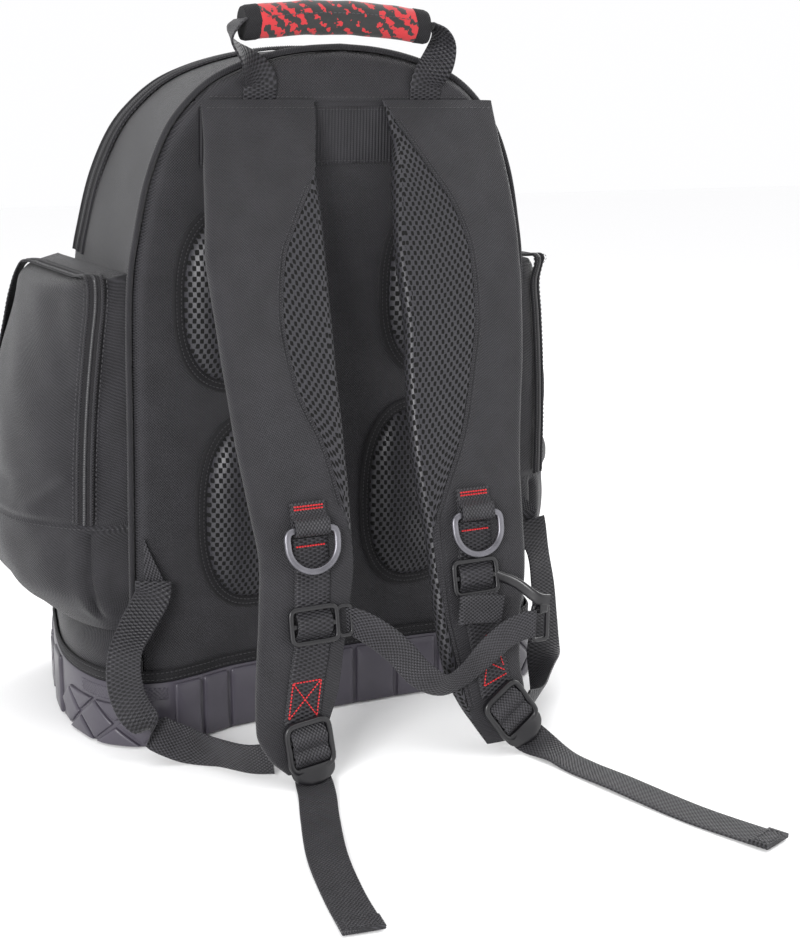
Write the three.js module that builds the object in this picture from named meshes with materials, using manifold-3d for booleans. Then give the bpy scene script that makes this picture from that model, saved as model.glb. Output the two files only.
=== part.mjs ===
// A tool backpack on its moulded foot, standing up, with its shoulder straps and their loose ends to the front.
// Millimetres, +Z up, X to the right of someone facing the straps, -Y towards them.
// The origin is the middle of the foot's underside.
import * as THREE from 'three';
import Module from 'manifold-3d';
import { mergeVertices } from 'three/addons/utils/BufferGeometryUtils.js';

const wasm = await Module();
wasm.setup();

// Driving sizes of the bag
const gap = 0.3;                  // clearance between pieces that touch
const footHeight = 47;            // moulded foot tray
const footHalfWidth = 187;        // its plan is given in shares of this
const footHalfDepth = 100;        // to its straight back face
const footWall = 3;
const footBevel = 3;
const crownHeight = 478;          // top of the arch
const panelHalfWidth = 151;
const panelThickness = 10;
const panelEdge = 2.5;            // panel's edge inside the piping's line
const panelCrownEdge = 6;         // panel's flat face inside the same line
const clothWall = 2;
const bindingHeight = 9;
const bindingThickness = 1.4;
const bindingInset = 1;
const pipingRadius = 2.2;
const bodyLean = 12.5;            // sideways lean of the soft body at the crown
const zipWidth = 26;
const zipThickness = 1.6;
const zipShare = 0.68;            // how far forward of the back the main zip runs

// Driving sizes of the foot's ribs and tread
const ribPitch = 33.6;
const ribPitchOuter = 23;
const ribGroove = 3;
const ribRise = 2.2;
const ribBevel = 1.4;
const treadHeight = 31;
const treadPitch = 33;
const treadRise = 2.2;
const treadGroove = 1.5;          // half the groove between two blocks
const treadBevel = 1.6;

// Driving sizes of the side pockets
const pocketBottom = 80;
const flareTop = 115;              // above this height the body's sides stand straight
const pocketTop = 331;
const pocketBulge = 70;           // reach past the body's side
const pocketDepth = 100;          // half of the body's depth, to which the pocket's plan is drawn
const pocketSeat = 0.7;           // clearance to the body's faceted side
const pocketZipWidth = 13;
const pocketZipClear = 1.6;
const pocketZipFoot = 158;
const pocketZipRises = [0, 0.27, 0.53, 0.76, 0.91];   // its places, as shares of the way to the pocket's top

// Driving sizes of the back pads
const padRise = 14;
const padRimWidth = 8;
const padRimThickness = 2.4;
const padRoundness = 0.8;         // power of the outline's cosine and sine: 1 is an ellipse
const upperPad = { x: 77, z: 310, halfWidth: 47, halfHeight: 65 };
const lowerPad = { x: 63, z: 160, halfWidth: 45, halfHeight: 71 };

// Driving sizes of webbing and handle
const webThickness = 1.5;
const webWidth = 25;
const bandBottom = 399;
const bandWidth = 39;
const bandThickness = 1.2;
const gripLength = 136;
const gripHalfHeight = 11.5;
const gripHalfDepth = 10;
const gripHeight = 491;           // its middle above the floor at the ends
const gripArch = 5;
const gripForward = 112;
const gripCentre = 1;
const handleFootSpread = 62.5;    // each webbing foot from the panel's centre line
const handleFootHeight = 442;

const handleWebWidth = 18;
const handleBow = { left: 7, right: 14 };       // how far each length bows out past the grip's end

// Driving sizes of the shoulder straps and their fittings
const strapTop = 443;
const strapWidth = 82;
const strapPad = 13;
const strapReach = { left: 119, right: 132 };   // how far the front face stands off the panel's face
const ringWire = 2.3;
const ringHalfWidth = 17.6;
const ringStraight = 10;
const ringCorner = 4;
const ringPivotLift = 5.2;
const ringLoopHalf = 12.5;
const ringLoopTop = 20;           // sewn length above the ring's bar
const ringSlack = 0.6;            // play of the bar in its loop
const slideHalfWidth = 18;
const slideHalfHeight = 13;
const slideThickness = 2.6;
const slideBar = 3.4;
const slideLift = 2.1;
const sideLoopReach = 10;
const lockHalfWidth = 17;
const lockHalfHeight = 20;
const lockThickness = 5;
const lockBar = 4;
const lockLift = 2.2;
const lockSlots = [{ low: 9, high: 16 }, { low: -4, high: 5 }, { low: -12, high: -8 }];
const lockRoll = { left: 0.12, right: 0.6 };   // turned in its own plane, in radians

// Outline of the back panel and body: rise from foot to crown, half width as a share of the panel's
const outline = [
  { rise: 0.000, half: 1.000 }, { rise: 0.355, half: 1.005 }, { rise: 0.643, half: 1.000 },
  { rise: 0.717, half: 0.968 }, { rise: 0.800, half: 0.914 }, { rise: 0.872, half: 0.828 },
  { rise: 0.910, half: 0.745 }, { rise: 0.945, half: 0.632 }, { rise: 0.968, half: 0.500 },
  { rise: 0.986, half: 0.335 }, { rise: 0.996, half: 0.170 }, { rise: 1.000, half: 0.000 },
];

// Reach of the body's front face, as a share of half the foot's depth
const frontReach = [
  { rise: 0.00, reach: 0.98 }, { rise: 0.20, reach: 1.00 }, { rise: 0.45, reach: 0.96 },
  { rise: 0.65, reach: 0.88 }, { rise: 0.80, reach: 0.76 }, { rise: 0.90, reach: 0.62 },
  { rise: 0.96, reach: 0.46 }, { rise: 1.00, reach: 0.20 },
];

// Plan of the body and of the foot, from the middle of the back round one side to the middle of the front.
// across and depth: shares of the body's half width and of its depth. footAcross and footDepth: shares of
// the foot's half width and half depth, with its corners swelling past its straight faces and its sides
// drawing in towards the front.
const plan = [
  { across: 0.00, depth: 0.00, footAcross: 0.000, footDepth: -1.000 },
  { across: 0.35, depth: 0.00, footAcross: 0.250, footDepth: -1.005 },
  { across: 0.70, depth: 0.00, footAcross: 0.450, footDepth: -1.035 },
  { across: 0.90, depth: 0.00, footAcross: 0.600, footDepth: -1.115 },
  { across: 1.00, depth: 0.00, footAcross: 0.720, footDepth: -1.150 },
  { across: 1.00, depth: 0.04, footAcross: 0.820, footDepth: -1.090 },
  { across: 1.00, depth: 0.09, footAcross: 0.915, footDepth: -0.950 },
  { across: 1.00, depth: 0.16, footAcross: 0.968, footDepth: -0.680 },
  { across: 1.00, depth: 0.30, footAcross: 0.984, footDepth: -0.350 },
  { across: 1.00, depth: 0.50, footAcross: 0.966, footDepth: 0.000 },
  { across: 1.00, depth: 0.66, footAcross: 0.928, footDepth: 0.350 },
  { across: 0.98, depth: 0.79, footAcross: 0.888, footDepth: 0.680 },
  { across: 0.92, depth: 0.89, footAcross: 0.838, footDepth: 0.930 },
  { across: 0.80, depth: 0.95, footAcross: 0.760, footDepth: 1.070 },
  { across: 0.62, depth: 0.985, footAcross: 0.660, footDepth: 1.130 },
  { across: 0.42, depth: 1.00, footAcross: 0.520, footDepth: 1.080 },
  { across: 0.20, depth: 1.00, footAcross: 0.300, footDepth: 1.010 },
  { across: 0.00, depth: 1.00, footAcross: 0.000, footDepth: 1.000 },
];

// Plan of a side pocket: out from the body's side as a share of its bulge, along as a share of its depth
const pocketPlan = [
  { out: 0.00, along: -0.885 }, { out: 0.22, along: -0.860 }, { out: 0.42, along: -0.800 },
  { out: 0.61, along: -0.690 }, { out: 0.78, along: -0.540 }, { out: 0.92, along: -0.330 },
  { out: 1.00, along: -0.080 }, { out: 1.00, along: 0.200 }, { out: 0.95, along: 0.460 },
  { out: 0.82, along: 0.660 }, { out: 0.60, along: 0.790 }, { out: 0.30, along: 0.850 },
  { out: 0.00, along: 0.880 },
];
const pocketNearZip = 2;          // row of the plan where the zip climbs on the wearer's side
const pocketFarZip = 9;           // row where it comes down again

// Bulge of a pocket up its height, as shares of its height and of its bulge
const pocketSide = [
  { rise: 0.00, bulge: 0.50 }, { rise: 0.03, bulge: 0.63 }, { rise: 0.07, bulge: 0.81 },
  { rise: 0.12, bulge: 0.94 }, { rise: 0.20, bulge: 1.00 }, { rise: 0.40, bulge: 0.985 },
  { rise: 0.62, bulge: 0.90 }, { rise: 0.82, bulge: 0.757 }, { rise: 0.95, bulge: 0.64 },
  { rise: 0.985, bulge: 0.60 }, { rise: 1.00, bulge: 0.52 },
];

// Shoulder straps: height as a share of the strap's top, both edges as shares of its width, stand-off of its
// front face as a share of its reach, padding as a share of the full pad
const strapTable = {
  left: [
    { height: 1.000, inner: 0.134, outer: 1.134, reach: 0.040, pad: 0.335 },
    { height: 0.948, inner: 0.183, outer: 1.159, reach: 0.126, pad: 0.60 },
    { height: 0.903, inner: 0.244, outer: 1.207, reach: 0.218, pad: 0.90 },
    { height: 0.835, inner: 0.268, outer: 1.268, reach: 0.345, pad: 1.00 },
    { height: 0.767, inner: 0.293, outer: 1.317, reach: 0.437, pad: 1.00 },
    { height: 0.677, inner: 0.317, outer: 1.305, reach: 0.546, pad: 1.00 },
    { height: 0.587, inner: 0.329, outer: 1.280, reach: 0.634, pad: 1.00 },
    { height: 0.497, inner: 0.329, outer: 1.244, reach: 0.714, pad: 1.00 },
    { height: 0.406, inner: 0.329, outer: 1.183, reach: 0.782, pad: 1.00 },
    { height: 0.339, inner: 0.341, outer: 1.146, reach: 0.832, pad: 1.00 },
    { height: 0.271, inner: 0.402, outer: 1.183, reach: 0.878, pad: 0.95 },
    { height: 0.203, inner: 0.488, outer: 1.232, reach: 0.920, pad: 0.90 },
    { height: 0.135, inner: 0.573, outer: 1.280, reach: 0.958, pad: 0.80 },
    { height: 0.090, inner: 0.671, outer: 1.293, reach: 0.979, pad: 0.65 },
    { height: 0.045, inner: 0.756, outer: 1.195, reach: 0.992, pad: 0.50 },
    { height: 0.018, inner: 0.829, outer: 1.049, reach: 0.996, pad: 0.40 },
  ],
  right: [
    { height: 1.000, inner: 0.488, outer: 1.549, reach: 0.036, pad: 0.335 },
    { height: 0.948, inner: 0.512, outer: 1.549, reach: 0.121, pad: 0.60 },
    { height: 0.903, inner: 0.451, outer: 1.549, reach: 0.212, pad: 0.90 },
    { height: 0.835, inner: 0.378, outer: 1.537, reach: 0.326, pad: 1.00 },
    { height: 0.767, inner: 0.329, outer: 1.512, reach: 0.417, pad: 1.00 },
    { height: 0.677, inner: 0.317, outer: 1.451, reach: 0.523, pad: 1.00 },
    { height: 0.587, inner: 0.268, outer: 1.378, reach: 0.610, pad: 1.00 },
    { height: 0.497, inner: 0.244, outer: 1.293, reach: 0.686, pad: 1.00 },
    { height: 0.406, inner: 0.268, outer: 1.244, reach: 0.754, pad: 1.00 },
    { height: 0.339, inner: 0.305, outer: 1.232, reach: 0.803, pad: 1.00 },
    { height: 0.271, inner: 0.305, outer: 1.195, reach: 0.856, pad: 0.95 },
    { height: 0.203, inner: 0.317, outer: 1.110, reach: 0.902, pad: 0.90 },
    { height: 0.135, inner: 0.366, outer: 1.085, reach: 0.939, pad: 0.80 },
    { height: 0.090, inner: 0.463, outer: 1.098, reach: 0.966, pad: 0.65 },
    { height: 0.045, inner: 0.610, outer: 1.049, reach: 0.985, pad: 0.50 },
    { height: 0.018, inner: 0.707, outer: 0.976, reach: 0.992, pad: 0.40 },
  ],
};
const side = { left: -1, right: 1 };

// Where the fittings sit on each strap: height as a share of the strap's top, across as a share of its width
const fittings = {
  left: {
    pivot: { height: 0.379, across: 0.735 },
    web: [
      { height: 0.367, across: 0.738 }, { height: 0.320, across: 0.740 }, { height: 0.274, across: 0.762 },
      { height: 0.240, across: 0.770 }, { height: 0.206, across: 0.798 }, { height: 0.160, across: 0.860 },
      { height: 0.098, across: 0.930 },
    ],
    slide: { height: 0.240, across: 0.770 }, lock: { height: 0.060, across: 0.885 },
  },
  right: {
    pivot: { height: 0.375, across: 0.725 },
    web: [
      { height: 0.363, across: 0.720 }, { height: 0.325, across: 0.705 }, { height: 0.300, across: 0.680 },
      { height: 0.281, across: 0.665 }, { height: 0.262, across: 0.665 }, { height: 0.220, across: 0.700 },
      { height: 0.098, across: 0.800 },
    ],
    slide: { height: 0.281, across: 0.668 }, lock: { height: 0.066, across: 0.910 },
  },
};

// Routes of the loose webbing, in millimetres: middle of the webbing, and the way its width points. The
// two tails go by how far they lie forward of their strap's foot.
const routes = {
  lowerLeft: [
    { x: -138.5, y: -106.1, z: 119, ax: 0.92, ay: -0.38, az: 0.0 },
    { x: -139.5, y: -106.4, z: 109, ax: 0.92, ay: -0.38, az: 0.0 },
    { x: -152, y: -113, z: 93, ax: 0.88, ay: -0.46, az: -0.10 },
    { x: -166, y: -124, z: 76, ax: 0.75, ay: -0.65, az: 0.05 },
    { x: -168, y: -129, z: 54, ax: 0.85, ay: -0.50, az: -0.15 },
    { x: -163, y: -134, z: 37, ax: 0.85, ay: -0.40, az: -0.35 },
    { x: -150, y: -140, z: 22, ax: 0.60, ay: -0.40, az: -0.70 },
    { x: -134, y: -149, z: 14, ax: 0.25, ay: -0.55, az: -0.80 },
    { x: -118, y: -170, z: 13, ax: 0.20, ay: 0.20, az: -0.95 },
    { x: -103, y: -191, z: 13, ax: 0.25, ay: 0.20, az: -0.92 },
    { x: -90, y: -199, z: 14, ax: 0.30, ay: 0.10, az: -0.92 },
  ],
  lowerRight: [
    { x: 162, y: -108.5, z: 128, ax: -0.95, ay: 0.30, az: 0.0 },
    { x: 167, y: -114, z: 104, ax: -0.95, ay: -0.30, az: 0.05 },
    { x: 167, y: -122, z: 80, ax: -0.95, ay: -0.30, az: -0.05 },
    { x: 162, y: -134, z: 56, ax: -0.90, ay: -0.35, az: -0.25 },
    { x: 150, y: -152, z: 34, ax: -0.80, ay: -0.20, az: -0.50 },
    { x: 133, y: -176, z: 22, ax: -0.60, ay: 0.10, az: -0.80 },
    { x: 114, y: -199, z: 20, ax: -0.45, ay: 0.20, az: -0.85 },
    { x: 96, y: -213, z: 24, ax: -0.40, ay: 0.10, az: -0.90 },
  ],
  tailLeft: [
    { x: -77, forward: 24, z: 3.0, ax: 0.96, ay: -0.28, az: 0.0 },
    { x: -88, forward: 53, z: 1.6, ax: 0.94, ay: -0.34, az: 0.0 },
    { x: -107, forward: 107, z: 2.8, ax: 0.96, ay: -0.28, az: 0.03 },
    { x: -117, forward: 151, z: 1.5, ax: 0.98, ay: -0.10, az: 0.0 },
    { x: -125, forward: 195, z: 2.4, ax: 0.97, ay: -0.22, az: 0.02 },
  ],
  tailRight: [
    { x: 98, forward: 26, z: 3.0, ax: 0.92, ay: 0.38, az: 0.0 },
    { x: 102, forward: 47, z: 1.6, ax: 0.95, ay: 0.30, az: 0.0 },
    { x: 109, forward: 79, z: 2.4, ax: 0.95, ay: 0.30, az: 0.0 },
    { x: 125, forward: 142, z: 1.6, ax: 0.93, ay: 0.36, az: 0.02 },
    { x: 145, forward: 199, z: 2.6, ax: 0.97, ay: 0.22, az: 0.0 },
  ],
  chest: [
    { x: -22, y: -220, z: 97, ax: 0.25, ay: 0.0, az: 0.97 },
    { x: -10, y: -226, z: 86, ax: 0.45, ay: 0.0, az: 0.89 },
    { x: 6, y: -230, z: 67, ax: 0.50, ay: -0.25, az: 0.80 },
    { x: 22, y: -232, z: 58, ax: -0.10, ay: -0.45, az: 0.90 },
    { x: 38, y: -233, z: 64, ax: -0.35, ay: -0.30, az: 0.88 },
    { x: 56, y: -233, z: 78, ax: -0.45, ay: 0.0, az: 0.89 },
    { x: 72, y: -233, z: 88, ax: -0.30, ay: 0.0, az: 0.95 },
  ],
};

// Wings sewn into the panel's side seams: heights of top, tip and foot, and how far the tip points outwards
const wings = {
  left: { top: 148, tip: 108, foot: 92, root: 146, out: -17, forward: 7 },
  right: { top: 158, tip: 134, foot: 108, root: 145, out: 22, forward: 7 },
};
const wingThickness = 2;

// Chest strap's rectangular ring and the loose ends' starts
const chestLoopCentre = { x: 96, y: -233, z: 92 };
const chestLoopHalfWidth = 7;
const chestLoopHalfHeight = 14;
const chestLoopBar = 3;
const tailOverLock = 9;           // how far up the lock each loose end starts
const tailRise = 0.3;             // what it gains on the lock's face at each step of its start
const chestWidth = 20;
const hookStem = { width: 8, thickness: 3 };
const hookClaw = { width: 6.4, thickness: 2 };
const foldLift = 4.8;             // folded webbing's near layer above the strap
const chestEnd = 5;               // straight stretch where the chest strap meets its ring and slide

// Small maths
const v = (x, y, z) => new THREE.Vector3(x, y, z);
const lerp = THREE.MathUtils.lerp;

function lookup(table, key, at, column) {
  for (let i = 1; i < table.length; i += 1) {
    const a = table[i - 1];
    const b = table[i];
    const share = (at - a[key]) / (b[key] - a[key]);
    if (share >= 0 && share <= 1) return lerp(a[column], b[column], share);
  }
  const rising = table[0][key] < table.at(-1)[key];
  return (at < table[0][key]) === rising ? table[0][column] : table.at(-1)[column];
}

// Closed geometry from points and triangles, its faces turned outwards
function closedGeometry(points, triangles) {
  let volume = 0;
  for (const [a, b, c] of triangles) {
    volume += points[a].dot(new THREE.Vector3().crossVectors(points[b], points[c]));
  }
  const geometry = new THREE.BufferGeometry();
  geometry.setAttribute('position', new THREE.Float32BufferAttribute(points.flatMap((p) => p.toArray()), 3));
  geometry.setIndex(triangles.flatMap(([a, b, c]) => (volume < 0 ? [a, c, b] : [a, b, c])));
  return geometry;
}

// Skin over a row of closed rings with equal counts. A looped row joins its last ring to its first.
function loft(rings, looped = false) {
  const n = rings[0].length;
  const points = rings.flat();
  const triangles = [];
  const rows = looped ? rings.length : rings.length - 1;
  for (let i = 0; i < rows; i += 1) {
    const a = i * n;
    const b = ((i + 1) % rings.length) * n;
    for (let j = 0; j < n; j += 1) {
      const k = (j + 1) % n;
      triangles.push([a + j, b + j, b + k], [a + j, b + k, a + k]);
    }
  }
  if (!looped) {
    for (const [start, forward] of [[0, true], [(rings.length - 1) * n, false]]) {
      const middle = points.push(points.slice(start, start + n)
        .reduce((sum, p) => sum.add(p), v(0, 0, 0)).multiplyScalar(1 / n)) - 1;
      for (let j = 0; j < n; j += 1) {
        const k = (j + 1) % n;
        triangles.push(forward ? [start + j, start + k, middle] : [start + k, start + j, middle]);
      }
    }
  }
  return closedGeometry(points, triangles);
}

// Round bar along points that lie in one plane
function bar(points, radius, sides, planeNormal, looped) {
  const rings = points.map((p, i) => {
    const before = looped ? points.at(i - 1) : points[Math.max(i - 1, 0)];
    const after = looped ? points[(i + 1) % points.length] : points[Math.min(i + 1, points.length - 1)];
    const tangent = after.clone().sub(before).normalize();
    const across = new THREE.Vector3().crossVectors(tangent, planeNormal).normalize();
    return Array.from({ length: sides }, (_, j) => {
      const turn = (2 * Math.PI * j) / sides;
      return p.clone().addScaledVector(across, radius * Math.cos(turn))
        .addScaledVector(planeNormal, radius * Math.sin(turn));
    });
  });
  return loft(rings, looped);
}

// Skin of a webbing. Both faces split along the same diagonal, so that a twist keeps the thickness.
function ribbonSkin(rings) {
  const last = 4 * (rings.length - 1);
  const triangles = [[0, 1, 2], [0, 2, 3], [last, last + 2, last + 1], [last, last + 3, last + 2]];
  for (let a = 0; a < last; a += 4) {
    const b = a + 4;
    triangles.push([a, b, b + 1], [a, b + 1, a + 1], [a + 2, b + 2, a + 3], [b + 2, b + 3, a + 3]);
    triangles.push([a + 1, b + 1, b + 2], [a + 1, b + 2, a + 2], [a + 3, b + 3, b], [a + 3, b, a]);
  }
  return closedGeometry(rings.flat(), triangles);
}

// Flat webbing along a route of places and width directions
function ribbon(route, width, thickness, steps) {
  const path = new THREE.CatmullRomCurve3(route.map((r) => v(r.x, r.y, r.z)), false, 'centripetal');
  const turns = new THREE.CatmullRomCurve3(route.map((r) => v(r.ax, r.ay, r.az)), false, 'catmullrom', 0.5);
  const rings = [];
  for (let i = 0; i <= steps; i += 1) {
    const at = path.getPoint(i / steps);
    const tangent = path.getTangent(i / steps);
    const across = turns.getPoint(i / steps);
    across.addScaledVector(tangent, -across.dot(tangent)).normalize();
    const up = new THREE.Vector3().crossVectors(tangent, across);
    rings.push([[-1, -1], [1, -1], [1, 1], [-1, 1]].map(([a, b]) => at.clone()
      .addScaledVector(across, (a * width) / 2).addScaledVector(up, (b * thickness) / 2)));
  }
  return ribbonSkin(rings);
}

// Joining and cutting
function toSolid(geometry) {
  const merged = mergeVertices(geometry.clone().deleteAttribute('normal').deleteAttribute('uv'), 1e-4);
  return new wasm.Manifold(new wasm.Mesh({
    numProp: 3,
    vertProperties: new Float32Array(merged.attributes.position.array),
    triVerts: new Uint32Array(merged.index.array),
  }));
}

function toGeometry(solid) {
  const mesh = solid.getMesh();
  const geometry = new THREE.BufferGeometry();
  geometry.setAttribute('position', new THREE.BufferAttribute(mesh.vertProperties, 3));
  geometry.setIndex(new THREE.BufferAttribute(mesh.triVerts, 1));
  return geometry;
}

// The soft body leans a little to one side above its foot
function lean(geometry) {
  const position = geometry.attributes.position;
  for (let i = 0; i < position.count; i += 1) {
    position.setX(i, position.getX(i) + leanAt(position.getZ(i)));
  }
  return geometry;
}

function leanAt(z) {
  return (bodyLean * Math.max(0, z - footHeight)) / (crownHeight - footHeight);
}

// Body shape
const riseAt = (z) => (z - footHeight) / (crownHeight - footHeight);
const panelFace = -footHalfDepth;
const bodyBack = panelFace + panelThickness;
const panelFoot = footHeight + bindingHeight + 2;
const halfWidthAt = (z) => panelHalfWidth * lookup(outline, 'rise', riseAt(z), 'half');
const frontAt = (z) => footHalfDepth * lookup(frontReach, 'rise', riseAt(z), 'reach');

function mirrored(half) {
  return [...half, ...half.slice(1, -1).reverse().map((p) => v(-p.x, p.y, p.z))];
}

function footRing(z, inset) {
  const shareX = 1 - inset / footHalfWidth;
  const shareY = 1 - inset / footHalfDepth;
  return mirrored(plan.map((row) => v(
    footHalfWidth * row.footAcross * shareX, footHalfDepth * row.footDepth * shareY, z,
  )));
}

// Ring of the body at a height, grown outwards by a distance. Its sides flare to meet the foot's plan.
function bodyRing(z, grow) {
  const half = Math.max(halfWidthAt(z) + grow, 1);
  const back = bodyBack - grow;
  const front = frontAt(z) + grow;
  const flare = THREE.MathUtils.smoothstep(flareTop - z, 0, flareTop - panelFoot);
  return mirrored(plan.map((row) => {
    const x = half * row.across;
    const y = lerp(back, front, row.depth);
    const behindPanel = row.depth === 0;
    const footX = (footHalfWidth - clothWall + grow) * row.footAcross;
    const footY = (footHalfDepth - clothWall + grow) * row.footDepth;
    const flaredX = behindPanel ? x : lerp(x, Math.max(footX, x), flare);
    const flaredY = row.depth > 0.5 ? lerp(y, footY, flare) : y;
    return v(flaredX, flaredY, z);
  }));
}

const crownLevels = outline.slice(3, -1).map(({ rise }) => footHeight + rise * (crownHeight - footHeight));
const bodyLevels = [panelFoot - 0.8, 72, 92, flareTop, 210, 324, ...crownLevels];
const seatInset = bindingInset + bindingThickness + gap + leanAt(footHeight + bindingHeight);

function bodySolid(grow, bottom, levels = bodyLevels) {
  const skirt = [footRing(bottom, seatInset - grow), footRing(panelFoot - 1.6, seatInset - grow)];
  const top = levels.map((z) => bodyRing(z + grow * Math.max(riseAt(z), 0), grow));
  return toSolid(loft([...skirt, ...top]));
}

function panelOutline(inset, y, bottom) {
  const rows = [bottom, 120, 210, 324, ...crownLevels];
  const right = rows.map((z) => {
    const shrunk = z === bottom ? z : z - (inset * Math.max(0, riseAt(z) - 0.5)) / 0.5;
    return v(halfWidthAt(z) - inset * Math.min(1, halfWidthAt(z) / (3 * inset + 1)), y, shrunk);
  });
  const crown = v(0, y, crownHeight - inset);
  return [...right, crown, ...right.slice().reverse().map((p) => v(-p.x, p.y, p.z))];
}

// Foot tray
const footCurve = new THREE.CatmullRomCurve3(footRing(0, 0), true, 'centripetal');
footCurve.arcLengthDivisions = 600;
const footLength = footCurve.getLength();

function footPoint(s, z, out) {
  const at = ((s / footLength) % 1 + 1) % 1;
  const p = footCurve.getPointAt(at);
  const t = footCurve.getTangentAt(at);
  return v(p.x + t.y * out, p.y - t.x * out, z);
}

// Raised block on the foot's side: a convex outline of places along the plan and heights, with bevelled edges
function block(corners, rise, bevel) {
  const centre = corners.reduce((sum, [s, z]) => [sum[0] + s / corners.length, sum[1] + z / corners.length], [0, 0]);
  const face = corners.map(([s, z]) => {
    const ds = s - centre[0];
    const dz = z - centre[1];
    const length = Math.hypot(ds, dz);
    const share = Math.max(length - bevel * 1.4, length * 0.3) / length;
    return footPoint(centre[0] + ds * share, centre[1] + dz * share, rise);
  });
  const root = corners.map(([s, z]) => footPoint(s, z, -footWall * 0.6));
  const n = corners.length;
  const triangles = [];
  for (let i = 0; i < n; i += 1) {
    const k = (i + 1) % n;
    triangles.push([i, k, n + k], [i, n + k, n + i]);
    if (i > 0 && k > 0) triangles.push([k, i, 0], [n, n + i, n + k]);
  }
  return toSolid(closedGeometry([...root, ...face], triangles));
}

// Place along the plan, from the middle of the back, of a point at x on the back face
function planPlace(x) {
  const steps = 400;
  for (let i = 0; i < steps; i += 1) {
    const at = (i / steps) * 0.25;
    if (footCurve.getPointAt(at).x >= x) return at * footLength;
  }
  return footLength * 0.25;
}

function footTray() {
  const rings = 40;
  const ringAt = (z, out) => Array.from({ length: rings }, (_, i) => footPoint((i * footLength) / rings, z, out));
  let tray = toSolid(loft([ringAt(0, -footBevel), ringAt(footBevel, 0), ringAt(footHeight, 0)]));
  const hollow = toSolid(loft([footRing(footWall, footWall + 1), footRing(footHeight + 1, footWall + 1)]));
  tray = tray.subtract(hollow);
  const ribEdges = [0.5 * ribPitch, 1.5 * ribPitch, 2.5 * ribPitch];
  ribEdges.push(ribEdges.at(-1) + ribPitchOuter, ribEdges.at(-1) + 2 * ribPitchOuter);
  const places = ribEdges.map(planPlace);
  const spans = [[-places[0], places[0]]];
  for (let i = 1; i < places.length; i += 1) spans.push([places[i - 1], places[i]], [-places[i], -places[i - 1]]);
  const half = footLength / 2;
  const sideSpans = [[footLength / 4 - ribPitch / 2, footLength / 4 + ribPitch / 2]];
  const allSpans = [...spans, ...spans.map(([a, b]) => [a + half, b + half]),
    ...sideSpans, ...sideSpans.map(([a, b]) => [a + half, b + half])];
  const low = footBevel / 2;
  for (const [a, b] of allSpans) {
    const from = a + ribGroove / 2;
    const to = b - ribGroove / 2;
    tray = tray.add(block([[from, low], [to, low], [to, footHeight - low], [from, footHeight - low]], ribRise, ribBevel));
  }
  const cornerStart = places.at(-1) + ribGroove;
  const cornerEnd = footLength / 4 - ribPitch / 2 - ribGroove;
  const columns = Math.max(2, Math.round((cornerEnd - cornerStart) / treadPitch));
  const pitch = (cornerEnd - cornerStart) / columns;
  const middle = low + treadHeight / 2;
  const halfWide = pitch / 2 - treadGroove;
  const halfTall = treadHeight / 2 - treadGroove;
  const corners = [(s) => s, (s) => -s, (s) => half + s, (s) => half - s];
  for (const corner of corners) {
    for (let i = 0; i < columns; i += 1) {
      const s = cornerStart + (i + 0.5) * pitch;
      const diamond = [[s - halfWide, middle], [s, middle - halfTall], [s + halfWide, middle], [s, middle + halfTall]];
      tray = tray.add(block(diamond.map(([a, z]) => [corner(a), z]), treadRise, treadBevel));
    }
    for (let i = 1; i < columns; i += 1) {
      const s = cornerStart + i * pitch;
      for (const up of [-1, 1]) {
        const edge = middle + up * (treadHeight / 2);
        const tip = middle + up * treadGroove * 1.5;
        const triangle = [[s - halfWide, edge], [s, tip], [s + halfWide, edge]];
        tray = tray.add(block(triangle.map(([a, z]) => [corner(a), z]), treadRise, treadBevel));
      }
    }
  }
  return toGeometry(tray);
}

function footBinding() {
  const low = footHeight + gap;
  const high = low + bindingHeight - gap;
  const outer = toSolid(loft([footRing(low, bindingInset), footRing(high, bindingInset)]));
  const inset = bindingInset + bindingThickness;
  return toGeometry(outer.subtract(toSolid(loft([footRing(low - 1, inset), footRing(high + 1, inset)]))));
}

function mainShell() {
  const outer = bodySolid(0, footHeight + gap);
  const innerLevels = bodyLevels.filter((z, i) => z < 200 || i % 2 === 1);
  return toGeometry(outer.subtract(bodySolid(-clothWall, footHeight - 1, innerLevels)));
}

function backPanel() {
  return loft([
    panelOutline(panelEdge + gap, bodyBack - gap, panelFoot), panelOutline(panelEdge + gap, panelFace + panelEdge, panelFoot),
    panelOutline(panelCrownEdge, panelFace, panelFoot + panelEdge),
  ]);
}

function panelPiping() {
  const y = bodyBack - gap - pipingRadius;
  const points = panelOutline(0, y, panelFoot);
  return bar(points, pipingRadius, 5, v(0, 1, 0), false);
}

function topBand() {
  const y = panelFace - gap;
  const top = bandBottom + bandWidth;
  const section = (z, depth) => {
    const half = halfWidthAt(z) - panelCrownEdge - 1;
    return [v(-half, depth, z), v(half, depth, z)];
  };
  const ring = (depth) => [...section(bandBottom, depth), ...section(top, depth).reverse()];
  return loft([ring(y), ring(y - bandThickness)]);
}

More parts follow.
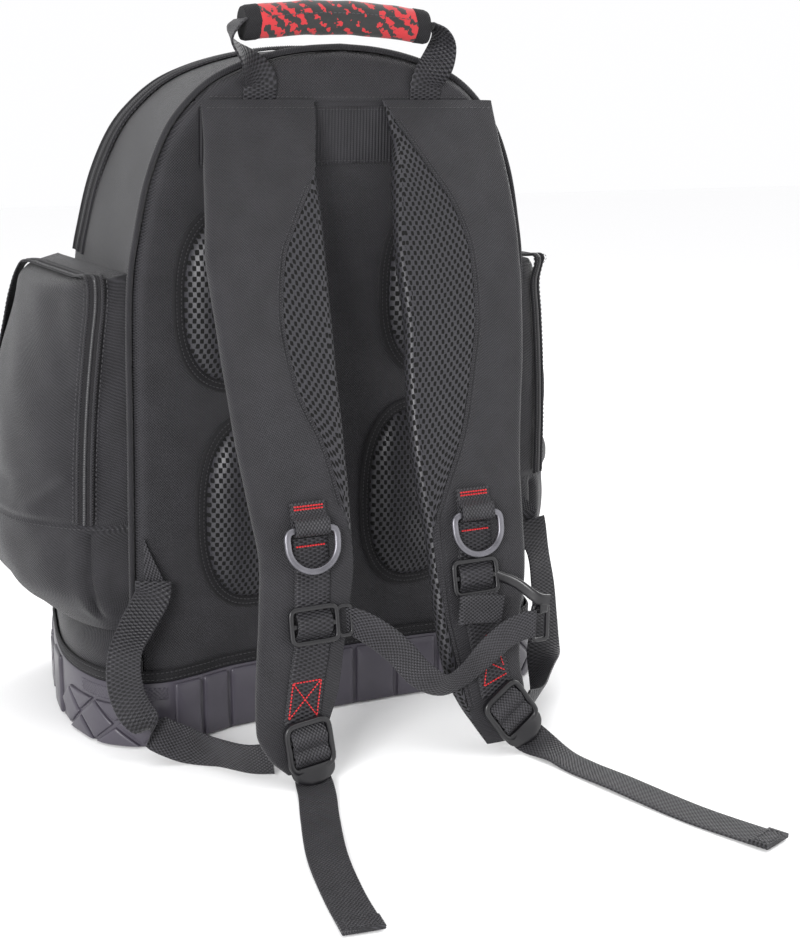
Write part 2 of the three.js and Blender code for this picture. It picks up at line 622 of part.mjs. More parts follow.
// Strip of zip over the gusset, from one pocket's top over the crown to the other's
function mainZip() {
  const levels = [pocketTop + 16, ...crownLevels];
  const clear = 1;
  const offset = clear + zipThickness / 2;
  const right = levels.map((z) => {
    const step = 2;
    const slope = (halfWidthAt(Math.min(z + step, crownHeight)) - halfWidthAt(z - step)) / (2 * step);
    const out = v(1, 0, -slope).normalize();
    const y = lerp(bodyBack, frontAt(z), zipShare);
    return { x: halfWidthAt(z) + out.x * offset, y, z: z + out.z * offset, ax: 0, ay: 1, az: 0 };
  });
  const crown = { x: 0, y: lerp(bodyBack, frontAt(crownHeight), zipShare), z: crownHeight + offset, ax: 0, ay: 1, az: 0 };
  const route = [...right, crown, ...right.slice().reverse().map((r) => ({ ...r, x: -r.x }))];
  return ribbon(route, zipWidth, zipThickness, 32);
}

// Side pockets
function pocketRing(z, shrink, inward) {
  const rise = (z - pocketBottom) / (pocketTop - pocketBottom);
  const bulge = pocketBulge * lookup(pocketSide, 'rise', THREE.MathUtils.clamp(rise, 0, 1), 'bulge');
  const ring = pocketPlan.map((row) => v(
    panelHalfWidth + Math.max(bulge * row.out - shrink, -1 - shrink), row.along * (pocketDepth - shrink), z,
  ));
  const root = panelHalfWidth - inward;
  return [...ring, v(root, ring.at(-1).y, z), v(root, ring[0].y, z)];
}

function pocketShell(which) {
  const height = pocketTop - pocketBottom;
  const outerRings = pocketSide.map((row) => pocketRing(pocketBottom + row.rise * height, 0, 20));
  const innerRings = pocketSide.map((row) => pocketRing(
    lerp(pocketBottom + clothWall, pocketTop - clothWall, row.rise), clothWall, 40,
  )).filter((ring, i) => i !== 1 && i !== 7);
  const [outer, inner] = [outerRings, innerRings].map((rings) => toSolid(onSide(which, loft(rings))));
  return lean(toGeometry(outer.subtract(inner).subtract(bodySolid(pocketSeat, footHeight - 1))));
}

// A shape drawn for the right side, turned into the left one's mirror image where that is asked for
function onSide(which, geometry) {
  if (side[which] > 0) return geometry;
  geometry.attributes.position.array.forEach((value, i, all) => {
    if (i % 3 === 0) all[i] = -value;
  });
  const index = geometry.index.array;
  for (let i = 0; i < index.length; i += 3) [index[i], index[i + 1]] = [index[i + 1], index[i]];
  return geometry;
}

// Zip of a pocket: up the wearer's side, along the top and down the far side
function pocketZip(which) {
  const clear = pocketZipClear + zipThickness / 2;
  const heights = pocketZipRises.map((share) => lerp(pocketZipFoot, pocketTop, share));
  const run = (row, turn) => {
    const before = pocketPlan[row - 1];
    const after = pocketPlan[row + 1];
    const along = v((after.out - before.out) * pocketBulge, (after.along - before.along) * pocketDepth, 0).normalize();
    return heights.map((z) => {
      const rise = (z - pocketBottom) / (pocketTop - pocketBottom);
      const bulge = pocketBulge * lookup(pocketSide, 'rise', rise, 'bulge');
      return {
        x: panelHalfWidth + bulge * pocketPlan[row].out + along.y * clear,
        y: pocketPlan[row].along * pocketDepth - along.x * clear, z,
        ax: along.x * turn, ay: along.y * turn, az: 0,
      };
    });
  };
  const near = run(pocketNearZip, 1);
  const far = run(pocketFarZip, -1).reverse();
  const topX = panelHalfWidth + pocketBulge * 0.33;
  const over = pocketTop + clear;
  const corner = (end) => ({
    ...end, x: lerp(topX, end.x, 0.5), y: end.y + Math.sign(end.y) * clear, z: pocketTop + clear * 0.7,
  });
  const top = [-0.62, -0.2, 0.3, 0.5].map((along) => ({ x: topX, y: along * pocketDepth, z: over, ax: 1, ay: 0, az: 0 }));
  const route = [...near, corner(near.at(-1)), ...top, corner(far[0]), ...far];
  return lean(onSide(which, ribbon(route, pocketZipWidth, zipThickness, 28)));
}

// Back pads: a domed pad in a flat rim
function padOutline(pad, grow, y, count = 20) {
  return Array.from({ length: count }, (_, i) => {
    const turn = (2 * Math.PI * i) / count;
    const c = Math.cos(turn);
    const s = Math.sin(turn);
    return v(
      pad.x + Math.sign(c) * Math.abs(c) ** padRoundness * (pad.halfWidth + grow), y,
      pad.z + Math.sign(s) * Math.abs(s) ** padRoundness * (pad.halfHeight + grow),
    );
  });
}

function padDome(pad) {
  const base = panelFace - gap;
  const edge = -padRimWidth - gap;
  return loft([
    padOutline(pad, edge, base), padOutline(pad, edge, base - padRise * 0.25),
    padOutline(pad, edge - 4, base - padRise * 0.6), padOutline(pad, edge - 11, base - padRise * 0.88),
    padOutline(pad, edge - 20, base - padRise),
  ]);
}

function padRim(pad) {
  const base = panelFace - gap;
  const section = [[0, 0], [-1, -padRimThickness], [-padRimWidth, -padRimThickness], [-padRimWidth, 0]];
  const outlines = section.map(([grow, rise]) => padOutline(pad, grow, base + rise));
  const rings = outlines[0].map((_, i) => outlines.map((ring) => ring[i]));
  return loft(rings, true);
}

// Handle
function gripPoint(share) {
  return v(gripCentre + (share - 0.5) * gripLength, -gripForward, gripHeight + gripArch * Math.sin(Math.PI * share));
}

function handleGrip() {
  const ends = [0, 0.02, 0.12, 0.3, 0.5, 0.7, 0.88, 0.98, 1];
  const rings = ends.map((share) => {
    const p = gripPoint(share);
    const size = share === 0 || share === 1 ? 0.86 : 1;
    return Array.from({ length: 12 }, (_, i) => {
      const turn = (2 * Math.PI * i) / 12;
      return v(p.x, p.y + gripHalfDepth * size * Math.cos(turn), p.z + gripHalfHeight * size * Math.sin(turn));
    });
  });
  return loft(rings);
}

function handleWebbing(which) {
  const s = side[which];
  const footX = s * handleFootSpread + leanAt(handleFootHeight);
  const end = gripPoint(s < 0 ? 0 : 1);
  const bow = handleBow[which];
  const y = panelFace - gap - webThickness / 2;
  const out = gap + webThickness / 2 + 0.1;
  const route = [
    { x: footX, y, z: handleFootHeight + 2, ax: 1, ay: 0, az: 0 },
    { x: footX, y: y - 0.6, z: handleFootHeight + 12, ax: 1, ay: 0, az: 0 },
    { x: lerp(footX, end.x, 0.4) + s * bow * 0.6, y: y - 6, z: lerp(handleFootHeight, end.z, 0.52), ax: 0.8, ay: -0.6 * s, az: 0 },
    { x: end.x + s * bow, y: -gripForward + 1, z: lerp(handleFootHeight, end.z, 0.8), ax: 0.35, ay: -0.93 * s, az: 0 },
    { x: end.x + s * (bow * 0.8), y: -gripForward, z: end.z - 2, ax: 0, ay: -s, az: 0 },
    { x: end.x + s * out, y: -gripForward, z: end.z + 2.5, ax: 0, ay: -s, az: 0 },
  ];
  return ribbon(route, handleWebWidth, webThickness, 14);
}

// Shoulder straps
function strapRow(which, z) {
  const height = z / strapTop;
  const at = (column) => lookup(strapTable[which], 'height', height, column);
  const s = side[which];
  return {
    inner: s * strapWidth * at('inner'), outer: s * strapWidth * at('outer'),
    front: panelFace - strapReach[which] * at('reach'), pad: strapPad * at('pad'),
  };
}

function strapNormal(which, z) {
  const step = 12;
  const high = Math.min(z + step, strapTop);
  const low = Math.max(z - step, 8);
  const slope = (strapRow(which, high).front - strapRow(which, low).front) / (high - low);
  return v(0, -1, slope).normalize();
}

function shoulderStrap(which) {
  const table = strapTable[which];
  const rings = table.map((row) => {
    const z = row.height * strapTop;
    const { inner, outer, front, pad } = strapRow(which, z);
    const normal = strapNormal(which, z);
    const round = pad * 0.35;
    const low = Math.min(inner, outer);
    const high = Math.max(inner, outer);
    const profile = [
      [low, round], [low + round, 0], [high - round, 0], [high, round],
      [high, pad - round], [high - round, pad], [low + round, pad], [low, pad - round],
    ];
    return profile.map(([x, depth]) => v(x, front, z).addScaledVector(normal, -depth));
  });
  return loft(rings);
}

// Place on a strap's front face
function strapPlace(which, { height, across }, lift) {
  const z = height * strapTop;
  const x = side[which] * across * strapWidth;
  return v(x, strapRow(which, z).front, z).addScaledVector(strapNormal(which, z), lift);
}

function strapFrame(which, place, lift, roll = 0) {
  const group = new THREE.Group();
  const z = place.height * strapTop;
  const normal = strapNormal(which, z);
  const across = v(1, 0, 0);
  const up = new THREE.Vector3().crossVectors(normal, across);
  group.quaternion.setFromRotationMatrix(new THREE.Matrix4().makeBasis(across, up, normal));
  group.rotateZ(roll);
  group.position.copy(strapPlace(which, place, lift));
  return group;
}

// Webbing sewn down the strap. It dips under the slide's outer bars and rises over its middle bar.
function strapWebbing(which) {
  const { web, slide } = fittings[which];
  const low = gap + webThickness / 2;
  const high = slideLift + slideThickness + gap + webThickness / 2;
  const bend = (slideHalfHeight - slideBar) / strapTop;
  const over = (slideBar * 0.75) / strapTop;
  const rows = [
    ...web.filter((row) => row.height > slide.height + bend + 0.004).map((row) => ({ ...row, lift: low })),
    { height: slide.height + bend, across: 0, lift: low }, { height: slide.height + over, across: 0, lift: high },
    { height: slide.height - over, across: 0, lift: high }, { height: slide.height - bend, across: 0, lift: low },
    ...web.filter((row) => row.height < slide.height - bend - 0.004).map((row) => ({ ...row, lift: low })),
  ];
  const rings = rows.map(({ height, lift }) => {
    const across = lookup(web, 'height', height, 'across');
    const at = strapPlace(which, { height, across }, lift);
    const normal = strapNormal(which, height * strapTop);
    return [[-1, -1], [1, -1], [1, 1], [-1, 1]].map(([a, b]) => at.clone()
      .add(v((a * webWidth) / 2, 0, 0)).addScaledVector(normal, (b * webThickness) / 2));
  });
  return ribbonSkin(rings);
}

// D ring in its own plane, its straight bar on the X axis at the pivot
function ringGeometry() {
  const points = [];
  const corner = ringCorner;
  const r = ringHalfWidth;
  points.push(v(-r + corner, 0, 0), v(0, 0, 0), v(r - corner, 0, 0));
  points.push(v(r - corner * 0.3, -corner * 0.3, 0), v(r, -corner, 0));
  const arc = 10;
  for (let i = 0; i <= arc; i += 1) {
    const turn = (Math.PI * i) / arc;
    points.push(v(r * Math.cos(turn), -ringStraight - r * Math.sin(turn), 0));
  }
  points.push(v(-r, -corner, 0), v(-r + corner * 0.3, -corner * 0.3, 0));
  return bar(points, ringWire, 6, v(0, 0, 1), true);
}

// Webbing loop that carries the ring: a strip on the strap that turns round the ring's bar
function ringLoop() {
  const bore = ringWire + ringSlack;
  const outer = bore + webThickness;
  const floor = -ringPivotLift + gap;
  const top = ringLoopTop;
  const shape = new THREE.Shape();
  shape.moveTo(top, floor);
  shape.lineTo(top, floor + 2 * webThickness);
  shape.lineTo(outer + 3, floor + 2 * webThickness + 0.6);
  shape.absarc(0, 0, outer, Math.PI * 0.2, Math.PI * 1.5, false);
  shape.lineTo(0, floor);
  shape.closePath();
  const hole = new THREE.Path();
  hole.absarc(0, 0, bore, 0, 2 * Math.PI, true);
  shape.holes.push(hole);
  const geometry = new THREE.ExtrudeGeometry(shape, { depth: 2 * ringLoopHalf, bevelEnabled: false, curveSegments: 8 });
  geometry.translate(0, 0, -ringLoopHalf);
  // The drawn plane (along the strap, off the strap) becomes the ring's own Y and Z
  const turn = new THREE.Matrix4().makeBasis(v(0, 1, 0), v(0, 0, 1), v(1, 0, 0));
  return geometry.applyMatrix4(turn);
}

function roundedRectangle(path, x0, y0, x1, y1, r) {
  path.moveTo(x0 + r, y0);
  path.lineTo(x1 - r, y0);
  path.lineTo(x1, y0 + r);
  path.lineTo(x1, y1 - r);
  path.lineTo(x1 - r, y1);
  path.lineTo(x0 + r, y1);
  path.lineTo(x0, y1 - r);
  path.lineTo(x0, y0 + r);
  path.closePath();
  return path;
}

function slot(x0, y0, x1, y1) {
  return new THREE.Path([[x0, y0], [x1, y0], [x1, y1], [x0, y1]].map(([x, y]) => new THREE.Vector2(x, y)));
}

// Slide with two slots across, and a side loop on the inner side of the left one
function slideGeometry(which) {
  const loopReach = which === 'left' ? sideLoopReach : 0;
  const shape = roundedRectangle(new THREE.Shape(), -slideHalfWidth, -slideHalfHeight,
    slideHalfWidth + loopReach, slideHalfHeight, 2.5);
  const inner = slideHalfWidth - slideBar;
  const tall = slideHalfHeight - slideBar;
  shape.holes.push(slot(-inner, slideBar / 2, inner, tall));
  shape.holes.push(slot(-inner, -tall, inner, -slideBar / 2));
  if (loopReach) {
    shape.holes.push(slot(slideHalfWidth + 0.6, 1 - tall, slideHalfWidth + loopReach - slideBar * 0.8, tall - 1));
  }
  return new THREE.ExtrudeGeometry(shape, {
    depth: slideThickness - 1, bevelEnabled: true, bevelThickness: 0.5, bevelSize: 0.4, bevelOffset: -0.4, bevelSegments: 1,
  }).translate(0, 0, 0.5);
}

// Ladder lock: a frame with three bars, and a lifting tongue at its lower end
function lockGeometry() {
  const shape = roundedRectangle(new THREE.Shape(), -lockHalfWidth, -lockHalfHeight, lockHalfWidth, lockHalfHeight, 3);
  const inner = lockHalfWidth - lockBar;
  for (const { low, high } of lockSlots) {
    shape.holes.push(slot(-inner, low, inner, high));
  }
  return new THREE.ExtrudeGeometry(shape, {
    depth: lockThickness - 1.2, bevelEnabled: true, bevelThickness: 0.6, bevelSize: 0.5, bevelOffset: -0.5, bevelSegments: 1,
  }).translate(0, 0, 0.6);
}

// Cloth wing in the side seam that carries the lower webbing
function wing(which) {
  const { top, tip, foot, root, out, forward } = wings[which];
  const y = panelFace - gap;
  const corner = (x, front, z) => v(side[which] * x + leanAt(z), front, z);
  const face = (t) => [corner(root, y - t, top), corner(root + out, y - forward - t, tip), corner(root, y - t, foot)];
  return loft([face(0), face(wingThickness)]);
}

// Loose end: out over the lock's lower bar, down to the floor and along it
function tail(which) {
  const lock = strapFrame(which, fittings[which].lock, lockLift, lockRoll[which]);
  lock.updateMatrixWorld(true);
  const lift = lockThickness + gap + webThickness / 2;
  const across = v(1, 0, 0).transformDirection(lock.matrixWorld);
  const start = [tailOverLock, tailOverLock / 2, -0.5].map((up, i) => {
    const at = v(0, up - lockHalfHeight, lift + i * tailRise).applyMatrix4(lock.matrixWorld);
    return { x: at.x, y: at.y, z: at.z, ax: across.x, ay: across.y, az: across.z };
  });
  const strapFoot = panelFace - strapReach[which];
  const loose = routes[which === 'left' ? 'tailLeft' : 'tailRight'].map((row) => ({ ...row, y: strapFoot - row.forward }));
  return ribbon([...start, ...loose], webWidth, webThickness, 12);
}

// Chest strap: from the side loop of the left slide to its rectangular ring
function chestStrap() {
  const slide = strapPlace('left', fittings.left.slide, slideLift + slideThickness / 2);
  const upright = { ax: 0, ay: 0, az: 1 };
  const from = slide.x + slideHalfWidth + sideLoopReach + gap;
  const to = chestLoopCentre.x - chestLoopHalfWidth - gap;
  const first = [0, chestEnd / 2].map((on) => ({ x: from + on, y: slide.y, z: slide.z - 2, ...upright }));
  const last = [chestEnd, 0].map((back) => ({ x: to - back, y: chestLoopCentre.y, z: chestLoopCentre.z, ...upright }));
  return ribbon([...first, ...routes.chest, ...last], chestWidth, webThickness, 26);
}

// Rectangular ring at the end of the chest strap, and the hook that holds it
function chestLoop() {
  const [w, h, t] = [chestLoopHalfWidth, chestLoopHalfHeight, chestLoopBar];
  const shape = roundedRectangle(new THREE.Shape(), -w, -h, w, h, 1.5);
  shape.holes.push(slot(t - w, t - h, w - t, h - t));
  const geometry = new THREE.ExtrudeGeometry(shape, { depth: t, bevelEnabled: false }).translate(0, 0, -t / 2);
  const turn = new THREE.Matrix4().makeBasis(v(1, 0, 0), v(0, 0, 1), v(0, -1, 0));
  geometry.applyMatrix4(turn);
  return geometry.translate(chestLoopCentre.x, chestLoopCentre.y, chestLoopCentre.z);
}

function chestHook() {
  const slide = strapPlace('right', fittings.right.slide, slideLift + slideThickness / 2);
  const barZ = chestLoopCentre.z + chestLoopHalfHeight - chestLoopBar / 2;
  const y = chestLoopCentre.y;
  const route = [
    { x: slide.x + slideHalfWidth + gap + 1.6, y: slide.y, z: slide.z - 1, ax: 0, ay: 0, az: 1 },
    { x: slide.x + slideHalfWidth + 8, y: lerp(slide.y, y, 0.5) - 2, z: slide.z - 5, ax: 0, ay: 0, az: 1 },
    { x: chestLoopCentre.x - 4, y: y - 4.5, z: barZ + 6, ax: 0.2, ay: 0, az: 1 },
    { x: chestLoopCentre.x + 5, y: y - 4.6, z: barZ + 4, ax: 0.4, ay: 0, az: 1 },
  ];
  const stem = toSolid(ribbon(route, hookStem.width, hookStem.thickness, 8));
  const claw = [[-4.6, 6], [-4.6, -1], [-4.1, -3.6], [-1.5, -5], [1.5, -5], [3.2, -3.6], [3.6, -1.5]]
    .map(([dy, dz]) => ({ x: chestLoopCentre.x, y: y + dy, z: barZ + dz, ax: 1, ay: 0, az: 0 }));
  const hook = toSolid(ribbon(claw, hookClaw.width, hookClaw.thickness, 12));
  return toGeometry(stem.add(hook));
}

// Short folded end of the right adjuster's webbing
function foldedWebbing() {
  const { slide } = fittings.right;
  const down = (slideHalfHeight + 8) / strapTop;
  const at = (dx, lift, drop) => {
    const p = strapPlace('right', { height: slide.height - down - drop / strapTop, across: slide.across + dx / strapWidth }, lift);
    return { x: p.x, y: p.y, z: p.z, ax: 0.12, ay: 0, az: 1 };
  };
  const low = foldLift;
  const route = [at(14, low, 0), at(2, low, 0), at(-10, low + 0.4, 0), at(-16, low + 2, 0), at(-16.5, low + 3.4, 0),
    at(-10, low + 4.6, 0), at(2, low + 5, 1), at(15, low + 5, 3)];
  return ribbon(route, chestWidth, webThickness, 16);
}

// The group
const group = new THREE.Group();
const paint = {
  cloth: { color: 0x3a393c, roughness: 0.9, metalness: 0 },
  mesh: { color: 0x2b2a2d, roughness: 0.8, metalness: 0 },
  webbing: { color: 0x1c1b1d, roughness: 0.7, metalness: 0 },
  foot: { color: 0x3b3840, roughness: 0.45, metalness: 0 },
  zip: { color: 0x18171a, roughness: 0.6, metalness: 0 },
  grip: { color: 0x8f1a20, roughness: 0.7, metalness: 0 },
  ring: { color: 0x55555a, roughness: 0.3, metalness: 0.9 },
  buckle: { color: 0x232226, roughness: 0.4, metalness: 0 },
};

function addPiece(name, geometry, finish, parent = group) {
  const piece = new THREE.Mesh(geometry, new THREE.MeshStandardMaterial(paint[finish]));
  piece.name = name;
  parent.add(piece);
  return piece;
}

addPiece('foot_tray', footTray(), 'foot');
addPiece('foot_binding', footBinding(), 'webbing');
addPiece('main_shell', lean(mainShell()), 'cloth');
addPiece('back_panel', lean(backPanel()), 'cloth');
addPiece('panel_piping', lean(panelPiping()), 'cloth');
addPiece('main_zip', lean(mainZip()), 'zip');
addPiece('top_band', lean(topBand()), 'webbing');
addPiece('handle_grip', handleGrip(), 'grip');

for (const which of ['left', 'right']) {
  addPiece(`pocket_${which}`, pocketShell(which), 'cloth');
  addPiece(`pocket_zip_${which}`, pocketZip(which), 'zip');
  for (const [level, pad] of [['upper', upperPad], ['lower', lowerPad]]) {
    const place = { ...pad, x: side[which] * pad.x };
    addPiece(`pad_${level}_${which}`, lean(padDome(place)), 'mesh');
    addPiece(`pad_rim_${level}_${which}`, lean(padRim(place)), 'webbing');
  }
  addPiece(`handle_webbing_${which}`, handleWebbing(which), 'webbing');
  addPiece(`strap_${which}`, shoulderStrap(which), 'cloth');
  addPiece(`strap_webbing_${which}`, strapWebbing(which), 'webbing');
  addPiece(`wing_${which}`, wing(which), 'cloth');

  const pivot = strapFrame(which, fittings[which].pivot, ringPivotLift);
  addPiece(`ring_loop_${which}`, ringLoop(), 'webbing', pivot);
  addPiece(`d_ring_${which}`, ringGeometry(), 'ring', pivot);
  const slide = strapFrame(which, fittings[which].slide, slideLift);
  addPiece(`slide_${which}`, slideGeometry(which), 'buckle', slide);
  const lock = strapFrame(which, fittings[which].lock, lockLift, lockRoll[which]);
  addPiece(`ladder_lock_${which}`, lockGeometry(), 'buckle', lock);
  group.add(pivot, slide, lock);
}

addPiece('lower_webbing_left', ribbon(routes.lowerLeft, webWidth, webThickness, 26), 'webbing');
addPiece('lower_webbing_right', ribbon(routes.lowerRight, webWidth, webThickness, 22), 'webbing');
addPiece('tail_left', tail('left'), 'webbing');
addPiece('tail_right', tail('right'), 'webbing');
addPiece('chest_strap', chestStrap(), 'webbing');
addPiece('chest_loop', chestLoop(), 'buckle');
addPiece('chest_hook', chestHook(), 'buckle');
addPiece('chest_fold', foldedWebbing(), 'webbing');

export default group;
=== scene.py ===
import math

import bmesh
import bpy
import numpy as np
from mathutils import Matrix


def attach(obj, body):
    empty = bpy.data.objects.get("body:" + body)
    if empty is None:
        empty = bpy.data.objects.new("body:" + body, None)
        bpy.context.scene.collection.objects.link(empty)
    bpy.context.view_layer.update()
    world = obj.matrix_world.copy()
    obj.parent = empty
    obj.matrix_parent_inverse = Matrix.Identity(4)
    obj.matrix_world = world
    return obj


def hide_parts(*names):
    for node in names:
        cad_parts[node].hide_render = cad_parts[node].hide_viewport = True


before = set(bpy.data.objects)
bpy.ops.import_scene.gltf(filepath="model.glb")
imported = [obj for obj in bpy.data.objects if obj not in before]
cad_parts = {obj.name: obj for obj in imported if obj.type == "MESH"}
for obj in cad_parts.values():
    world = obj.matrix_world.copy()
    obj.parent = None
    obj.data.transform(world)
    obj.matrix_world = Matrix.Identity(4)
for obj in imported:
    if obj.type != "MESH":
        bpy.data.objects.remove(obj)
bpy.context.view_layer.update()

# Camera
# It stands to the left of the straps and a little above their middle, and looks down on the bag.
MM = 0.001
camera_place = (-463.1, -1127.7, 438.5)
camera_turn = 26.76
camera_tilt = 12.97
focal_length = 1600        # in pixels of a frame 948 high
frame_height = 948

camera = bpy.data.objects.new("camera", bpy.data.cameras.new("camera"))
camera.location = [MM * value for value in camera_place]
camera.rotation_euler = (math.radians(90 - camera_tilt), 0, -math.radians(camera_turn))
camera.data.lens = focal_length * camera.data.sensor_width / frame_height
bpy.context.scene.collection.objects.link(camera)
bpy.context.scene.camera = camera

# Studio
# A white room: a broad soft lamp high on the left, a weaker one on the right and one from above,
# with a matt painted floor.
room_white = "#f8f8f9"
room_light = 1.06
floor_white = "#fcfcfc"
floor_half = 6000
lamp_target = (0, -60, 230)
lamps = {
    "key": {"place": (-1500, -1600, 800), "size": 800, "watts": 46},
    "fill": {"place": (1700, -1500, 700), "size": 1500, "watts": 8},
    "top": {"place": (200, -300, 1900), "size": 1200, "watts": 10},
    "rim": {"place": (1500, 900, 900), "size": 1000, "watts": 12},
}


def linear(code):
    """Linear colour of an sRGB hex value"""
    shares = [int(code[i:i + 2], 16) / 255 for i in (1, 3, 5)]
    parts = [c / 12.92 if c <= 0.04045 else ((c + 0.055) / 1.055) ** 2.4 for c in shares]
    return (*parts, 1.0)


def feed(tree, node, inputs):
    """Links sockets to a node's inputs, and sets plain values in the others"""
    for key, value in inputs.items():
        if isinstance(value, bpy.types.NodeSocket):
            tree.links.new(value, node.inputs[key])
        else:
            node.inputs[key].default_value = value


def add(tree, kind, inputs=None, **settings):
    """A shader node with its settings, and its inputs set or linked"""
    node = tree.nodes.new("ShaderNode" + kind)
    for name, value in settings.items():
        setattr(node, name, value)
    feed(tree, node, inputs or {})
    return node


def new_material(name):
    """A material, its node tree and its shader"""
    material = bpy.data.materials.new(name)
    material.use_nodes = True
    return material, material.node_tree, material.node_tree.nodes["Principled BSDF"]


def maths(tree, operation, *values):
    """Result of one operation on sockets and numbers"""
    return add(tree, "Math", dict(enumerate(values)), operation=operation).outputs[0]


def noise(tree, where, scale, detail, dimensions="3D"):
    """Smooth noise over places"""
    inputs = {"Vector": where, "Scale": scale, "Detail": detail}
    return add(tree, "TexNoise", inputs, noise_dimensions=dimensions).outputs["Fac"]


def mapped(tree, value, low=0.0, high=1.0, start=0.0, end=1.0, **settings):
    """A value moved from the range low to high into the range start to end"""
    inputs = {"Value": value, "From Min": low, "From Max": high, "To Min": start, "To Max": end}
    return add(tree, "MapRange", inputs, **settings).outputs[0]


def bumped(tree, height, strength, depth):
    """Fine relief from a height, its depth in metres"""
    return add(tree, "Bump", {"Height": height, "Strength": strength, "Distance": depth}).outputs[0]


world = bpy.data.worlds.new("white_room")
world.use_nodes = True
world.node_tree.nodes["Background"].inputs["Color"].default_value = linear(room_white)
world.node_tree.nodes["Background"].inputs["Strength"].default_value = room_light
bpy.context.scene.world = world
bpy.context.scene.view_settings.view_transform = "Standard"

for name, lamp in lamps.items():
    light = bpy.data.lights.new(name, "AREA")
    light.energy = lamp["watts"]
    light.size = lamp["size"] * MM
    holder = bpy.data.objects.new(name, light)
    holder.location = [MM * value for value in lamp["place"]]
    away = np.array(lamp["place"], float) - lamp_target
    turn = math.atan2(away[1], away[0]) + math.pi / 2
    holder.rotation_euler = (math.atan2(math.hypot(away[0], away[1]), away[2]), 0, turn)
    bpy.context.scene.collection.objects.link(holder)

# Matt emulsion on boards: white, no gloss, with a trace of roller texture
floor_paint, tree, shader = new_material("matt_painted_floor")
grain = add(tree, "TexNoise", {"Scale": 40.0, "Detail": 3.0})
bump = bumped(tree, grain.outputs["Fac"], 0.05, 0.0005)
feed(tree, shader, {"Base Color": linear(floor_white), "Roughness": 0.9, "Normal": bump})
floor_mesh = bpy.data.meshes.new("floor")
edge = floor_half * MM
corners = [(-edge, -edge, 0), (edge, -edge, 0), (edge, edge, 0), (-edge, edge, 0)]
floor_mesh.from_pydata(corners, [], [(0, 1, 2, 3)])
floor_mesh.materials.append(floor_paint)
floor = bpy.data.objects.new("floor", floor_mesh)
bpy.context.scene.collection.objects.link(floor)

# Foot tray
# A rigid tray of black-grey polypropylene, injection moulded in one piece: upright ribs round its sides,
# diamond tread blocks and a knurled band at its four corners. The cloth is sewn on above its rim.
foot_height = 47.0
foot_half_width = 187.0
foot_half_depth = 100.0
foot_wall = 3.0
foot_edge_radius = 3.0
rib_pitch = 33.6
rib_pitch_outer = 23.0
rib_groove = 3.0
rib_rise = 2.2
rib_swell = 0.7            # how much the middle of a rib's face stands out
rib_corner = 2.0
block_edge = 1.5           # rounding of a raised block's edge
block_root = 1.5           # how far a raised block reaches into the wall
tread_corner = 1.2
tread_height = 31.0
tread_pitch = 33.0
tread_rise = 2.2
tread_groove = 1.5         # half the groove between two blocks
knurl_pitch = 3.0
knurl_rise = 0.9
knurl_share = 0.64         # how far round the corner the knurled band runs

# Plan of body and foot, from the middle of the back round one side to the middle of the front, as shares
# of the body's half width and depth, and of the foot's half width and half depth
plan_columns = ("across", "depth", "foot_across", "foot_depth")
plan_rows = [
    (0.00, 0.000, 0.000, -1.000), (0.35, 0.000, 0.250, -1.005), (0.70, 0.000, 0.450, -1.035),
    (0.90, 0.000, 0.600, -1.115), (1.00, 0.000, 0.720, -1.150), (1.00, 0.040, 0.820, -1.090),
    (1.00, 0.090, 0.915, -0.950), (1.00, 0.160, 0.968, -0.680), (1.00, 0.300, 0.984, -0.350),
    (1.00, 0.500, 0.966, 0.000), (1.00, 0.660, 0.928, 0.350), (0.98, 0.790, 0.888, 0.680),
    (0.92, 0.890, 0.838, 0.930), (0.80, 0.950, 0.760, 1.070), (0.62, 0.985, 0.660, 1.130),
    (0.42, 1.000, 0.520, 1.080), (0.20, 1.000, 0.300, 1.010), (0.00, 1.000, 0.000, 1.000),
]


def table(columns, rows):
    """Named columns of a short table"""
    return dict(zip(columns, np.array(rows, float).T))


def unit(vectors):
    """Vectors of length one"""
    return vectors / np.maximum(np.linalg.norm(vectors, axis=-1, keepdims=True), 1e-9)


def xyz(x, y, z):
    """Points from their coordinates; a coordinate may be one number for all of them"""
    return np.stack(np.broadcast_arrays(x, y, z), axis=-1)


def read_along(at, places, rows):
    """Rows of values, given at places along a path, read at other places"""
    return np.stack([np.interp(at, places, column) for column in rows.T], axis=1)


def lengths(path):
    """Distance along a path at each of its points"""
    return np.concatenate([[0], np.cumsum(np.linalg.norm(np.diff(path, axis=0), axis=1))])


